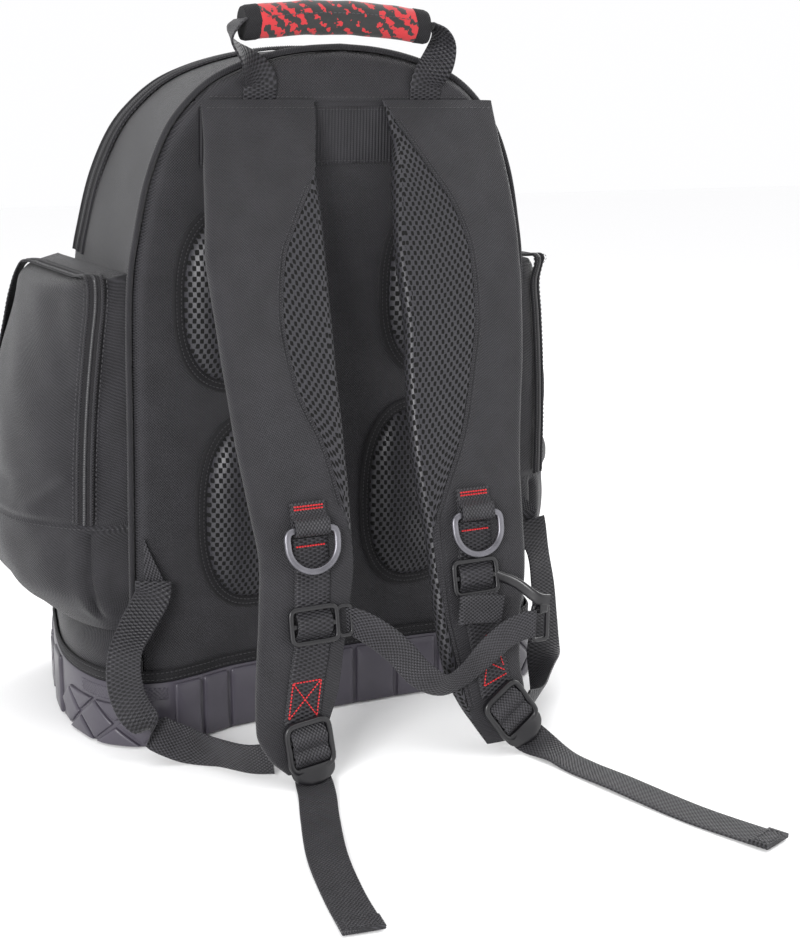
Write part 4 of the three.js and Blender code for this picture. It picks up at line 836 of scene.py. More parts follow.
# Top band
# A 40 mm polyester webbing laid flat across the panel below the yoke, ribbed along its short way and
# sewn down along both edges.
band_bottom = 399.0
band_width = 39.0
band_rib = 2.4
band_rib_rise = 0.45
band_half = np.interp(band_bottom + band_width, edge_line[:, 1], edge_line[:, 0]) - 4
band_x = np.arange(-band_half, band_half, band_rib / 4)
band_section = [
    (0, 0, 0), (0.3, 0.9, 0.5), (1, 1.0, 1), (19, 1.0, 1), (38, 1.0, 1), (38.7, 0.9, 0.5), (39, 0, 0),
]
band_rows = []
for z, rise, rib in band_section:
    y = panel_face - 0.2 - rise - rib * band_rib_rise * np.cos(2 * math.pi * band_x / band_rib)
    band_rows.append(xyz(band_x, y, band_bottom + z))
band_parts = [grid(leaned(band_rows))]
for z in (2.2, band_width - 2.2):
    row = xyz(band_x, panel_face - 1.75, band_bottom + z)
    band_parts.append(stitches(leaned(row), (0, -1, 0), finish=1))

# Ribbed polyester webbing: each cord of the weave stands up as a narrow shiny rib, with a painted highlight
# on it and painted shade in the gap beside it
ribbed_webbing = woven("ribbed_polyester_webbing", "#0a0a0b", "#333236", band_rib, 1.3, 0.8, 0.25, 0.5, 0.15,
                       shift=0.0)
top_band = build("top_band_webbing", band_parts, [ribbed_webbing, black_thread], sharp=80)
fix(top_band, "webbing", "top_band")

# Back pads
# Four foam cushions under knitted air mesh, each set in a flat bound rim with two rows of stitches and
# sewn to the panel.
pad_rise = 14.0
rim_width = 8.0
pad_roundness = 0.8
pads = {
    "upper": {"x": 77, "z": 310, "half_width": 47, "half_height": 65},
    "lower": {"x": 63, "z": 160, "half_width": 45, "half_height": 71},
}
sides = {"left": -1, "right": 1}


def pad_edge(pad, way, grow, turns):
    """Rounded oblong outline of a pad"""
    c, s = np.cos(turns), np.sin(turns)
    x = way * pad["x"] + np.sign(c) * np.abs(c) ** pad_roundness * (pad["half_width"] + grow)
    z = pad["z"] + np.sign(s) * np.abs(s) ** pad_roundness * (pad["half_height"] + grow)
    return x, z


def pad_dome(pad, way):
    """Domed cushion inside the rim, on an even grid of points"""
    u, v = np.meshgrid(np.linspace(-1, 1, 61), np.linspace(-1, 1, 85))
    disc_x, disc_z = u * np.sqrt(1 - v * v / 2), v * np.sqrt(1 - u * u / 2)
    radius = np.clip(np.hypot(disc_x, disc_z), 1e-9, 1)
    power = 2 / pad_roundness
    fit = (np.abs(disc_x / radius) ** power + np.abs(disc_z / radius) ** power) ** (-1 / power)
    x = way * pad["x"] + disc_x * fit * (pad["half_width"] - rim_width + 0.5)
    z = pad["z"] + disc_z * fit * (pad["half_height"] - rim_width + 0.5)
    dome = (1 - radius ** 3.0) ** 0.62
    y = panel_face - 1.0 - (pad_rise - 1.0) * dome
    rows = xyz(x, y, z)
    rows[..., 1] += 0.5 * ripple(rows, 13, way) * dome
    return grid(leaned(rows), lay=np.stack([x, z], axis=2))


def pad_rim(pad, way):
    """Flat padded rim with rounded edges"""
    section = [
        (-0.2, 0.2), (0.2, -1.0), (-0.4, -1.9), (-1.6, -2.3), (-2.6, -1.9), (-3.4, -2.35), (-4.8, -2.4),
        (-5.8, -1.95), (-6.8, -2.3), (-7.8, -1.9), (-8.6, -0.4), (-8.6, 0.2),
    ]
    turns = np.linspace(0, 2 * math.pi, 120)
    rings = []
    for grow, rise in section:
        x, z = pad_edge(pad, way, grow, turns)
        rings.append(xyz(x, panel_face + rise, z))
    parts = [grid(leaned(np.transpose(rings, (1, 0, 2))), around=True)]
    for grow in (-2.6, -5.8):
        x, z = pad_edge(pad, way, grow, np.linspace(0, 2 * math.pi, 240))
        row = leaned(xyz(x, panel_face - 1.95, z))
        parts.append(stitches(row, (0, -1, 0), pitch=2.8, length=2.1, finish=1))
    return parts


# Air mesh, warp knitted from monofilament: glossy yarn round open cells, painted near black for the dark
# layer beneath and the shade inside them
cell_across = 4.7
cell_along = 7.0
air_mesh, tree, shader = new_material("knitted_polyester_air_mesh")
where = add(tree, "UVMap", uv_map="lay").outputs[0]
cells = crossings(tree, where, (cell_across, cell_along), (0.8, 0.8), "COSINE", 0.12, 1.0)
hole = mapped(tree, cells, -0.02, 0.3, interpolation_type="SMOOTHSTEP")
strand = two_tone(tree, noise(tree, where, 1.6, 2.0, "2D"), "#131315", "#39383d")
# Painted shade: the open cells take a near-black colour for the dark layer beneath them and its shade
tone = add(tree, "Mix", {0: hole, 6: strand, 7: linear("#020202")}, data_type="RGBA").outputs[2]
gloss = mapped(tree, hole, start=0.38, end=0.95)
bump = bumped(tree, maths(tree, "MULTIPLY", hole, -1.0), 0.8, 0.0008)
feed(tree, shader, {"Base Color": tone, "Roughness": gloss, "Normal": bump, "Specular IOR Level": 0.35})

for level, pad in pads.items():
    for which, way in sides.items():
        cushion = build(f"pad_{level}_{which}_mesh", [pad_dome(pad, way)], [air_mesh])
        fix(cushion, "air_mesh", f"pad_{level}_{which}")
        rim = build(f"pad_{level}_{which}_rim", pad_rim(pad, way), [grosgrain, black_thread])
        fix(rim, "webbing", f"pad_rim_{level}_{which}")

# Side pockets
# Bellows pockets of the same polyester on both sides: a big outer face that bulges and sags, joined to a
# lower part by a horizontal seam, with a pleat below the zip and a gusset strip beside the panel.
pocket_bottom = 80.0
pocket_bulge = 70.0
pocket_depth = 100.0
pocket_seam = 157.0
droop_start = 225.0
pocket_plan = table(("out", "along"), [
    (0.00, -0.885), (0.22, -0.860), (0.42, -0.800), (0.61, -0.690), (0.78, -0.540), (0.92, -0.330),
    (1.00, -0.080), (1.00, 0.200), (0.95, 0.460), (0.82, 0.660), (0.60, 0.790), (0.30, 0.850),
    (0.00, 0.880),
])
pocket_side = table(("rise", "bulge"), [
    (0.00, 0.50), (0.03, 0.63), (0.07, 0.81), (0.12, 0.94), (0.20, 1.00), (0.40, 0.985), (0.62, 0.90),
    (0.82, 0.757), (0.95, 0.64), (0.985, 0.60), (1.00, 0.52),
])
near_zip_row = 2           # rows of the plan where the zip climbs and comes down again
far_zip_row = 9
pocket_step = 12.5
# Soft valleys on a pocket's face: start and end as distance past the zip's row and height, width, depth
pocket_creases = [
    ((10, 196), (46, 178), 9, 2.6), ((12, 186), (30, 166), 5, -1.8), ((24, 150), (58, 104), 10, 2.2),
    ((34, 322), (16, 262), 8, 2.0),
]
plan_ring = np.stack([pocket_bulge * pocket_plan["out"], pocket_depth * pocket_plan["along"],
                      pocket_plan["out"], pocket_plan["along"], np.arange(13.0)], axis=1)
pocket_columns = spline(plan_ring, 2.5, span=2)[:, 2:].T


def drooped(points):
    """The pocket's top sinks under its own weight, most at its outer edge"""
    points = np.array(points, float)
    out = np.clip((np.abs(points[..., 0]) - panel_half_width) / pocket_bulge, 0, 1)
    points[..., 2] -= ease((points[..., 2] - droop_start) / (pocket_top - droop_start)) * (3 + 13 * out)
    return points


def crease(s, z, start, end, width, depth):
    """Soft valley of a width and depth along a line between two places"""
    start, end = np.array(start, float), np.array(end, float)
    line = end - start
    share = ((s - start[0]) * line[0] + (z - start[1]) * line[1]) / (line @ line)
    held = np.clip(share, 0, 1)
    away = np.hypot(s - start[0] - held * line[0], z - start[1] - held * line[1])
    return -depth * np.exp(-(away / width) ** 2)


def pocket_surface():
    """Right pocket's skin before its lean, with its seam, pleat and creases; also its columns' numbers"""
    out, along, number = pocket_columns
    level = np.stack([pocket_bulge * pocket_side["bulge"],
                      pocket_bottom + (pocket_top - pocket_bottom) * pocket_side["rise"]], axis=1)
    line = spline(level, 2.5, span=2)
    rows = []
    for share in (0.05, 0.35, 0.7):
        rows.append((share * line[0, 0], line[0, 1] + 1.0))
    rows += [tuple(row) for row in line]
    for share, drop in ((0.93, -1.1), (0.8, -1.8), (0.6, -2.2), (0.3, -2.4), (0.02, -2.4)):
        rows.append((share * line[-1, 0], line[-1, 1] - drop * 0.4))
    rows = np.array(rows)
    return xyz(panel_half_width + rows[:, :1] * out, pocket_depth * along, rows[:, 1:]), number


def shaped_pocket(which):
    """The pocket's own folds on its skin; s counts the plan's rows, pocket_step a row"""
    rows, number = pocket_surface()
    normals = surface_normals(rows)
    if normals[40, 40, 0] < 0:
        normals = -normals
    z = rows[..., 2]
    s = np.broadcast_to(number[None], z.shape) * pocket_step
    body = ease((z - 84) / 12) * ease((326 - z) / 10) * ease(number / 0.8) * ease((12 - number) / 0.8)
    zip_s = near_zip_row * pocket_step
    move = crease(s, z, (-5, pocket_seam), (160, pocket_seam), 1.5, 1.3)
    move += 0.9 * np.exp(-((z - pocket_seam - 4.5) / 3.0) ** 2)
    move += crease(s, z, (zip_s - 3, pocket_seam - 6), (zip_s - 1, 92), 2.2, 3.6)
    move += 1.8 * np.exp(-((s - zip_s - 4) / 5) ** 2) * ease((pocket_seam - z) / 12)
    move += 1.2 * np.exp(-((s - zip_s + 9) / 5) ** 2) * ease((pocket_seam - z) / 12)
    for (start, start_z), (end, end_z), width, depth in pocket_creases:
        move += crease(s, z, (zip_s + start, start_z), (zip_s + end, end_z), width, depth)
    move += 2.2 * ripple(rows, 34, 2.0 + sides[which])
    move = move * body
    rows = rows + normals * move[..., None]
    rows[..., 0] *= sides[which]
    return leaned(drooped(rows))


for which, way in sides.items():
    rows = shaped_pocket(which)
    parts = [grid(rows)]
    seam_row = int(np.argmin(np.abs(rows[:, 40, 2] - pocket_seam + 3.2)))
    out = surface_normals(rows)[seam_row]
    if out[40, 0] * way < 0:
        out = -out
    parts.append(stitches(rows[seam_row], out, finish=1))
    pocket = build(f"pocket_{which}_cloth", parts, [polyester, black_thread])
    fix(pocket, "body_cloth", f"pocket_{which}")

# Pocket zips
# A 5 mm coil zip that climbs each pocket's edge on the wearer's side, bends over its top and comes down
# the far side, between folded cloth edges.
pocket_zip_width = 13.0
pocket_zip_clear = 2.4
pocket_zip_foot = 158.0


def pocket_zip_path(which):
    """Middle of the zip's tape and the direction across it"""
    out, along = pocket_plan["out"], pocket_plan["along"]
    heights = np.array([pocket_zip_foot, 205, 250, 290, 315])
    bulge = pocket_bulge * smooth((heights - pocket_bottom) / (pocket_top - pocket_bottom),
                                  pocket_side["rise"], pocket_side["bulge"])
    runs = []
    for row, turn in ((near_zip_row, 1), (far_zip_row, -1)):
        ahead = unit(np.array([(out[row + 1] - out[row - 1]) * pocket_bulge,
                               (along[row + 1] - along[row - 1]) * pocket_depth]))
        outwards = panel_half_width + bulge * out[row] + ahead[1] * pocket_zip_clear
        back = along[row] * pocket_depth - ahead[0] * pocket_zip_clear
        place = xyz(outwards, back, heights)
        runs.append(np.concatenate([place, np.tile((ahead[0] * turn, ahead[1] * turn, 0), (5, 1))], axis=1))
    near, far = runs[0], runs[1][::-1]
    top_x = panel_half_width + pocket_bulge * 0.33
    corners = []
    for end in (near[-1], far[0]):
        corners.append((*((top_x + end[0]) / 2, end[1] + np.sign(end[1]) * pocket_zip_clear,
                          pocket_top + pocket_zip_clear * 0.7), *end[3:]))
    top = [(top_x, share * pocket_depth, pocket_top + pocket_zip_clear, 1, 0, 0)
           for share in (-0.62, -0.2, 0.3, 0.5)]
    route = np.array([*near, corners[0], *top, corners[1], *far])
    route[:, [0, 3]] *= sides[which]
    route = spline(route, 2.5)
    return leaned(drooped(route[:, :3])), route[:, 3:]


for which in sides:
    path, across = pocket_zip_path(which)
    parts = zip_parts(path, across, pocket_zip_width)
    pocket_zip = build(f"pocket_zip_{which}_tape_and_coil", parts, zip_finish)
    fix(pocket_zip, "zip_tape", f"pocket_zip_{which}")

# Handle
# A padded grab handle: printed cloth rolled round a foam core, with a sewn ridge along its front and a black
# binding at each end, hung on two lengths of 25 mm webbing sewn into the yoke.
web_width = 25.0
web_thickness = 1.5
grip_length = 136.0
grip_half_height = 11.5
grip_half_depth = 10.0
grip_height = 491.0
grip_arch = 5.0
grip_forward = 112.0
grip_centre = 1.0
handle_foot_spread = 62.5
handle_foot_height = 442.0
handle_bow = {"left": 7, "right": 14}


def grip_ring(share, size):
    """Oval section of the grip, pinched to a ridge at its front"""
    turns = np.linspace(0, 2 * math.pi, 41)[:-1]
    pinch = 1.6 * np.exp(-((np.mod(turns - math.pi / 2 + math.pi, 2 * math.pi) - math.pi) / 0.16) ** 2)
    depth = grip_half_depth * size - 0.8 + pinch * 0.6
    y = -grip_forward - depth * np.sin(turns)
    z = grip_height + grip_arch * math.sin(math.pi * share) + grip_half_height * size * np.cos(turns)
    return xyz(grip_centre + (share - 0.5) * grip_length, y, z)


def grip_skin(start, end, grow, finish, crumple=0.4):
    """Stretch of the grip's surface between two shares of its length"""
    shares = np.linspace(start, end, max(4, round((end - start) * 70)))
    close = np.minimum((shares - start), (end - shares)) / 0.018
    sizes = [grow * (0.93 + 0.07 * math.sqrt(min(1, near))) for near in close]
    rows = np.array([grip_ring(share, size) for share, size in zip(shares, sizes)])
    rows[..., 1] += crumple * ripple(rows, 7, 0.7)
    rows[..., 2] += crumple * ripple(rows, 9, 1.9)
    return grid(rows, around=True, caps=(True, True), finish=finish)


grip_parts = [grip_skin(0.05, 0.95, 0.97, 0), grip_skin(0.0, 0.09, 1.0, 1, 0.15),
              grip_skin(0.91, 1.0, 1.0, 1, 0.15)]
ridge = np.array([grip_ring(share, 0.97)[10] for share in np.linspace(0.1, 0.9, 60)])
grip_parts.append(stitches(ridge + (0, -0.3, 2.6), (0, -1, 0.2), finish=2))

# Polyester, printed by dye sublimation: a torn red mottle on black, denser at the ends, cloth-rough and matt
print_pitch = 13.0
print_half = (0.020, 0.058)    # metres from the grip's middle over which the red grows denser
printed_cloth, tree, shader = new_material("sublimation_printed_polyester")
place = add(tree, "TexCoord").outputs["Object"]
parts = add(tree, "SeparateXYZ", {"Vector": place})
slant = maths(tree, "MULTIPLY_ADD", parts.outputs[2], 1.3, parts.outputs[0])
wave = maths(tree, "SINE", maths(tree, "MULTIPLY", slant, 2 * math.pi / (print_pitch * MM)))
bars = maths(tree, "MULTIPLY_ADD", noise(tree, place, 260.0, 2.0), 9.0, wave)
reach = maths(tree, "ABSOLUTE", maths(tree, "SUBTRACT", parts.outputs[0], grip_centre * MM))
red = maths(tree, "ADD", bars, mapped(tree, reach, *print_half, end=1.8))
share = mapped(tree, red, 5.45, 5.65)
bump = bumped(tree, noise(tree, place, 700.0, 2.0), 0.35, 0.0004)
feed(tree, shader, {"Base Color": two_tone(tree, share, "#0a090a", "#a5121b"), "Normal": bump,
                    "Roughness": 0.6, "Sheen Weight": 0.2})

grip = build("handle_grip_padding", grip_parts, [printed_cloth, grosgrain, black_thread])
fix(grip, "grip_cloth", "handle_grip")

# Polyester webbing, woven on a needle loom: one face shows short shiny floats in staggered rows, the other
# has ribs across it. Both are black, with a painted highlight on each float and rib and painted shade between
# them.
float_webbing = woven("needle_loom_polyester_webbing", "#030303", "#3d3c40", 2.5, 3.2, 0.6, 0.8, 0.4, 0.08,
                      shift=0.1)
cross_webbing = woven("cross_ribbed_polyester_webbing", "#040404", "#353438", 6.0, 2.8, 0.7, 0.8, 0.42, 0.08,
                      shift=0.1)
webbing_finish = [float_webbing, cross_webbing, black_thread]

for which, way in sides.items():
    lean = body_lean * (handle_foot_height - foot_height) / (crown_height - foot_height)
    foot_x = way * handle_foot_spread + lean
    end_x = grip_centre + way * grip_length / 2
    end_z = grip_height
    middle_x = foot_x * 0.6 + end_x * 0.4
    middle_z = handle_foot_height * 0.48 + end_z * 0.52
    bow = handle_bow[which]
    y = panel_face - yoke_rise - 0.2 - web_thickness / 2
    route = spline([
        (foot_x, y + 1.5, handle_foot_height - 1, 1, 0, 0),
        (foot_x, y - 0.2, handle_foot_height + 6, 1, 0, 0),
        (foot_x, y - 0.8, handle_foot_height + 12, 1, 0, 0),
        (middle_x + way * bow * 0.6, y - 6, middle_z, 0.8, -0.6 * way, 0),
        (end_x + way * bow, 1 - grip_forward, handle_foot_height * 0.2 + end_z * 0.8, 0.35, -0.93 * way, 0),
        (end_x + way * bow * 0.8, -grip_forward, end_z - 2, 0, -way, 0),
        (end_x + way * 0.5, -grip_forward, end_z + 2.5, 0, -way, 0),
    ], 2.0)
    parts = [ribbon(route[:, :3], route[:, 3:], web_width - 1, web_thickness, finish=(0, 1))]
    webbing = build(f"handle_webbing_{which}_woven", parts, webbing_finish)
    fix(webbing, "webbing", f"handle_webbing_{which}")

# Shoulder straps
# Padded straps of foam between polyester and air mesh: the mesh covers the back and wraps round the inner
# edge onto the front in a long crescent, where a corded seam joins it to the cloth. Their tops are sewn
# into the yoke.
strap_top = 443.0
strap_width = 82.0
strap_pad = 13.0
rim_seam = (60, 430)       # heights between which red thread runs along a strap's outer edge
strap_reach = {"left": 119, "right": 132}
strap_columns = ("height", "inner", "outer", "reach", "pad")
strap_tables = {
    "left": table(strap_columns, [
        (1.000, 0.134, 1.134, 0.040, 0.335), (0.948, 0.183, 1.159, 0.126, 0.60),
        (0.903, 0.244, 1.207, 0.218, 0.90), (0.835, 0.268, 1.268, 0.345, 1.00),
        (0.767, 0.293, 1.317, 0.437, 1.00), (0.677, 0.317, 1.305, 0.546, 1.00),
        (0.587, 0.329, 1.280, 0.634, 1.00), (0.497, 0.329, 1.244, 0.714, 1.00),
        (0.406, 0.329, 1.183, 0.782, 1.00), (0.339, 0.341, 1.146, 0.832, 1.00),
        (0.271, 0.402, 1.183, 0.878, 0.95), (0.203, 0.488, 1.232, 0.920, 0.90),
        (0.135, 0.573, 1.280, 0.958, 0.80), (0.090, 0.671, 1.293, 0.979, 0.65),
        (0.045, 0.756, 1.195, 0.992, 0.50), (0.018, 0.829, 1.049, 0.996, 0.40),
    ]),
    "right": table(strap_columns, [
        (1.000, 0.488, 1.549, 0.036, 0.335), (0.948, 0.512, 1.549, 0.121, 0.60),
        (0.903, 0.451, 1.549, 0.212, 0.90), (0.835, 0.378, 1.537, 0.326, 1.00),
        (0.767, 0.329, 1.512, 0.417, 1.00), (0.677, 0.317, 1.451, 0.523, 1.00),
        (0.587, 0.268, 1.378, 0.610, 1.00), (0.497, 0.244, 1.293, 0.686, 1.00),
        (0.406, 0.268, 1.244, 0.754, 1.00), (0.339, 0.305, 1.232, 0.803, 1.00),
        (0.271, 0.305, 1.195, 0.856, 0.95), (0.203, 0.317, 1.110, 0.902, 0.90),
        (0.135, 0.366, 1.085, 0.939, 0.80), (0.090, 0.463, 1.098, 0.966, 0.65),
        (0.045, 0.610, 1.049, 0.985, 0.50), (0.018, 0.707, 0.976, 0.992, 0.40),
    ]),
}
# Where the corded seam runs down each strap's front: height, and place across in millimetres
seam_lines = {
    "left": table(("height", "x"), [
        (443, -11), (405, -19), (370, -40), (340, -56), (300, -63), (260, -59), (220, -44), (180, -35),
        (150, -30), (8, -60),
    ]),
    "right": table(("height", "x"), [
        (443, 41), (432, 45), (420, 52), (400, 62), (370, 77), (340, 83), (300, 80), (260, 70), (220, 58),
        (180, 39), (150, 28), (8, 50),
    ]),
}


def strap_at(which, z):
    """Edges across, front-to-back place and padding of a strap at heights"""
    rows = strap_tables[which]
    inner, outer, reach, pad = [smooth(np.asarray(z, float) / strap_top, rows["height"], rows[name])
                                for name in strap_columns[1:]]
    wide = sides[which] * strap_width
    return wide * inner, wide * outer, panel_face - strap_reach[which] * reach, strap_pad * pad


def strap_normal(which, z):
    """Direction out of a strap's front face"""
    z = np.asarray(z, float)
    high, low = np.minimum(z + 12, strap_top), np.maximum(z - 12, 8)
    slope = (strap_at(which, high)[2] - strap_at(which, low)[2]) / (high - low)
    return unit(xyz(0, -1, slope))


def on_strap(which, z, x, lift=0.0):
    """Points on a strap's front face"""
    z, x, lift = np.broadcast_arrays(np.asarray(z, float), np.asarray(x, float), np.asarray(lift, float))
    return xyz(x, strap_at(which, z)[2], z) + strap_normal(which, z) * lift[..., None]


def strap_skin(which):
    """Closed padded strap. Finishes: cloth on the outer part of the front, air mesh on the rest."""
    way = sides[which]
    levels = np.concatenate([np.arange(443, 60, -3.5), np.arange(60, 8, -2.5), [8]])
    inner, outer, front, pad = strap_at(which, levels)
    seam = smooth(levels, seam_lines[which]["height"], seam_lines[which]["x"])
    normal = strap_normal(which, levels)
    width = np.abs(outer - inner)
    seam_share = np.clip((seam - inner) * way, 1.0, width * 0.8)
    edge = np.minimum(0.42 * pad, 0.3 * width)
    rows = []
    ends = ease((443.5 - levels) / 9) * ease((levels - 4) / 12)
    for i in range(len(levels)):
        near = edge[i]
        mesh_part = np.linspace(0, 1, 15) * (seam_share[i] - near) + near if seam_share[i] > near + 1 else \
            np.linspace(0.7, 1, 15) * seam_share[i]
        cloth_part = seam_share[i] + (width[i] - near - seam_share[i]) * np.linspace(0, 1, 27)[1:]
        flat = np.concatenate([mesh_part, cloth_part])
        fall = 1.5 * (np.exp(-flat / 5) + np.exp(-(width[i] - flat) / 5))
        fall += 1.3 * np.exp(-((flat - seam_share[i]) / 1.6) ** 2) * (seam_share[i] > near + 2)
        turns = np.linspace(0, math.pi / 2, 5)[1:]
        outer_edge = [(width[i] - near + near * math.sin(t),
                       fall[-1] + (pad[i] / 2 - fall[-1]) * (1 - math.cos(t))) for t in turns]
        outer_back = [(width[i] - near + near * math.cos(t), pad[i] / 2 + pad[i] / 2 * math.sin(t))
                      for t in turns]
        back = [(a, pad[i]) for a in np.linspace(width[i] - near, near, 15)[1:]]
        inner_back = [(near - near * math.sin(t), pad[i] - pad[i] / 2 * (1 - math.cos(t))) for t in turns]
        inner_edge = [(near - near * math.cos(t), pad[i] / 2 - (pad[i] / 2 - fall[0]) * math.sin(t))
                      for t in turns[:-1]]
        section = np.array([*zip(flat, fall), *outer_edge, *outer_back, *back, *inner_back, *inner_edge])
        section[:, 1] = pad[i] / 2 + (section[:, 1] - pad[i] / 2) * (0.35 + 0.65 * ends[i])
        rows.append(xyz(inner[i] + way * section[:, 0], front[i], levels[i]) - normal[i] * section[:, 1:])
    rows = np.array(rows)
    rows[..., 1] -= 0.45 * ripple(rows, 16, way) * ends[:, None]
    count = rows.shape[1]
    finishes = np.where((np.arange(count) >= 14) & (np.arange(count) < 48), 0, 1)
    return grid(rows, around=True, caps=(True, True), finish=finishes), levels, seam_share, inner, edge


# Nylon thread dyed red, used for the rows that carry load
red_thread = thread("bonded_nylon_thread_red", "#8f0c14", "#d0262d", 0.5)

for which, way in sides.items():
    skin, levels, seam_share, inner, edge = strap_skin(which)
    parts = [skin]
    shown = seam_share > edge + 2
    seam_path = on_strap(which, levels, inner + way * seam_share, -0.5)[shown]
    parts.append(tube(spline(seam_path, 3.0), (1, 0, 0), 1.1, sides=8, finish=0))
    beside = on_strap(which, levels, inner + way * (seam_share + 3.0), -0.25)[shown]
    parts.append(stitches(beside, strap_normal(which, levels)[shown], finish=2))
    rim = np.arange(rim_seam[0], rim_seam[1], 3.0)
    outer = strap_at(which, rim)[1]
    parts.append(stitches(on_strap(which, rim, outer - way * 1.2, -4.5), (way, -1, 0), finish=3))
    top_inner, top_outer = strap_at(which, strap_top)[:2]
    top_x = np.linspace(top_inner + way * 2, top_outer - way * 2, 30)
    parts.append(stitches(on_strap(which, strap_top - 6.0, top_x, 0.1), (0, -1, 0), finish=2))
    strap = build(f"strap_{which}_padding", parts, [polyester, air_mesh, black_thread, red_thread])
    fix(strap, "body_cloth", f"strap_{which}")

# Webbing on the straps
# 25 mm webbing sewn down the middle of each strap's lower half. It dips under the slide's two outer bars
# and rises over its middle one, and red thread holds it.
web_tables = {
    "left": table(("height", "across"), [
        (0.367, 0.738), (0.320, 0.740), (0.274, 0.762), (0.240, 0.770), (0.206, 0.798), (0.160, 0.860),
        (0.098, 0.930),
    ]),
    "right": table(("height", "across"), [
        (0.363, 0.720), (0.325, 0.705), (0.300, 0.680), (0.281, 0.665), (0.262, 0.665), (0.220, 0.700),
        (0.098, 0.800),
    ]),
}
slide_places = {"left": (0.240, 0.770), "right": (0.281, 0.668)}
pivot_places = {"left": (0.379, 0.735), "right": (0.375, 0.725)}
lock_places = {"left": (0.060, 0.885), "right": (0.066, 0.910)}
lock_roll = {"left": 0.12, "right": 0.6}
lock_lift = 2.2
slide_half_width = 18.0
slide_half_height = 13.0
slide_thickness = 2.6
slide_bar = 3.4
slide_lift = 2.1
web_gap = 0.3


def web_middle(which, z):
    """Place across of the webbing's middle line at heights"""
    rows = web_tables[which]
    return sides[which] * strap_width * smooth(z / strap_top, rows["height"], rows["across"])


def thread_line(which, corners, lift, pitch=2.2, length=2.0, radius=0.5, finish=2):
    """Heavy stitches between places given as across from the webbing's middle line, and height"""
    path = []
    for (x0, z0), (x1, z1) in zip(corners, corners[1:]):
        for t in np.linspace(0, 1, 12, endpoint=False):
            path.append((x0 + (x1 - x0) * t, z0 + (z1 - z0) * t))
    path.append(corners[-1])
    path = np.array(path)
    x = web_middle(which, path[:, 1]) + path[:, 0]
    points = on_strap(which, path[:, 1], x, lift)
    return stitches(points, strap_normal(which, path[:, 1]), pitch, length, radius, finish)


box_low, box_high, box_half = 47.0, 70.0, 10.0
red_rows = {
    "left": [
        [(-box_half, box_high), (box_half, box_high)], [(-box_half, box_low), (-box_half, box_high)],
        [(box_half, box_low), (box_half, box_high)], [(-box_half, box_high), (box_half, box_low)],
        [(-box_half, box_low), (box_half, box_high)],
    ],
    "right": [
        [(0, 84), (7, 84)], [(1.5, 84), (-3, 66)], [(6, 84), (9, 62)], [(-3, 66), (10, 58)],
        [(-3, 66), (-9, 50)], [(-9, 50), (10, 56)],
    ],
}
for which, way in sides.items():
    slide_z = slide_places[which][0] * strap_top
    top_z, low_z = [web_tables[which]["height"][i] * strap_top for i in (0, -1)]
    levels = np.arange(top_z, low_z - 1, -1.5)
    low = web_gap + web_thickness / 2
    high = slide_lift + slide_thickness + web_gap + web_thickness / 2
    bend, over = slide_half_height - slide_bar, slide_bar * 0.75
    lift = low + (high - low) * ease((bend - np.abs(levels - slide_z)) / (bend - over))
    path = on_strap(which, levels, web_middle(which, levels), lift)
    parts = [ribbon(path, np.tile((-1.0, 0, 0), (len(path), 1)), web_width, web_thickness, finish=(0, 1))]
    for corners in red_rows[which]:
        parts.append(thread_line(which, corners, web_gap + web_thickness + 0.1, finish=3))
    webbing = build(f"strap_webbing_{which}_woven", parts, [*webbing_finish, red_thread])
    fix(webbing, "webbing", f"strap_webbing_{which}")

# D-rings and their loops
# A zinc die-cast D-ring hangs in a webbing loop on each strap; the loop is sewn down above and below the
# ring's bar with a red bar tack.
ring_wire = 2.3
ring_thickness = 4.0
ring_half_width = 17.6
ring_straight = 10.0
ring_corner = 4.0
pivot_lift = 5.2
loop_top = 18.0
tack_width = 10.5
tack_stitch = (1.9, 1.9, 0.6)    # pitch, length and radius of the bar tacks' heavy stitches


def strap_frame(which, place, lift, roll=0.0):
    """Origin and axes (across, up the strap, off it) of a fitting on a strap"""
    z = place[0] * strap_top
    normal = strap_normal(which, z)
    origin = on_strap(which, z, sides[which] * strap_width * place[1], lift)
    across = np.array([1.0, 0, 0])
    up = np.cross(normal, across)
    turned = across * math.cos(roll) + up * math.sin(roll)
    return origin, np.array([turned, np.cross(normal, turned), normal])


def placed(local, place):
    """Local points of a fitting, in the bag's own frame"""
    origin, axes = place
    return np.asarray(local, float) @ axes + origin


def rounded_bar(path, out, width, thickness, finish=0, closed=True, round_power=0.6):
    """Moulded bar with a rounded oblong section, flat to a plane, along an open or closed path"""
    path = np.asarray(path, float)
    if closed:
        path = np.concatenate([path[-1:], path, path[:2]])
    heading = unit(np.gradient(path, axis=0))
    out = np.broadcast_to(out, path.shape)
    across = unit(np.cross(heading, out))
    turns = np.arange(14) * 2 * math.pi / 14
    c, s = np.cos(turns), np.sin(turns)
    flat = np.sign(c) * np.abs(c) ** round_power * width / 2
    tall = np.sign(s) * np.abs(s) ** round_power * thickness / 2
    rows = path[:, None] + flat[None, :, None] * across[:, None] + tall[None, :, None] * unit(out)[:, None]
    if closed:
        rows = rows[1:-1]
    return grid(rows, around=True, finish=finish, caps=(not closed,) * 2)


# Zinc, die cast and satin nickel plated: light grey metal with soft highlights and a faint brushed grain
plated_zinc = cast("satin_nickel_plated_zinc", "#4b4a4f", "#85848a", gloss=(0.28, 0.48), cloud_scale=60.0,
                   grain_scale=700.0, detail=3.0, strength=0.12, depth=0.0001, metallic=0.9)

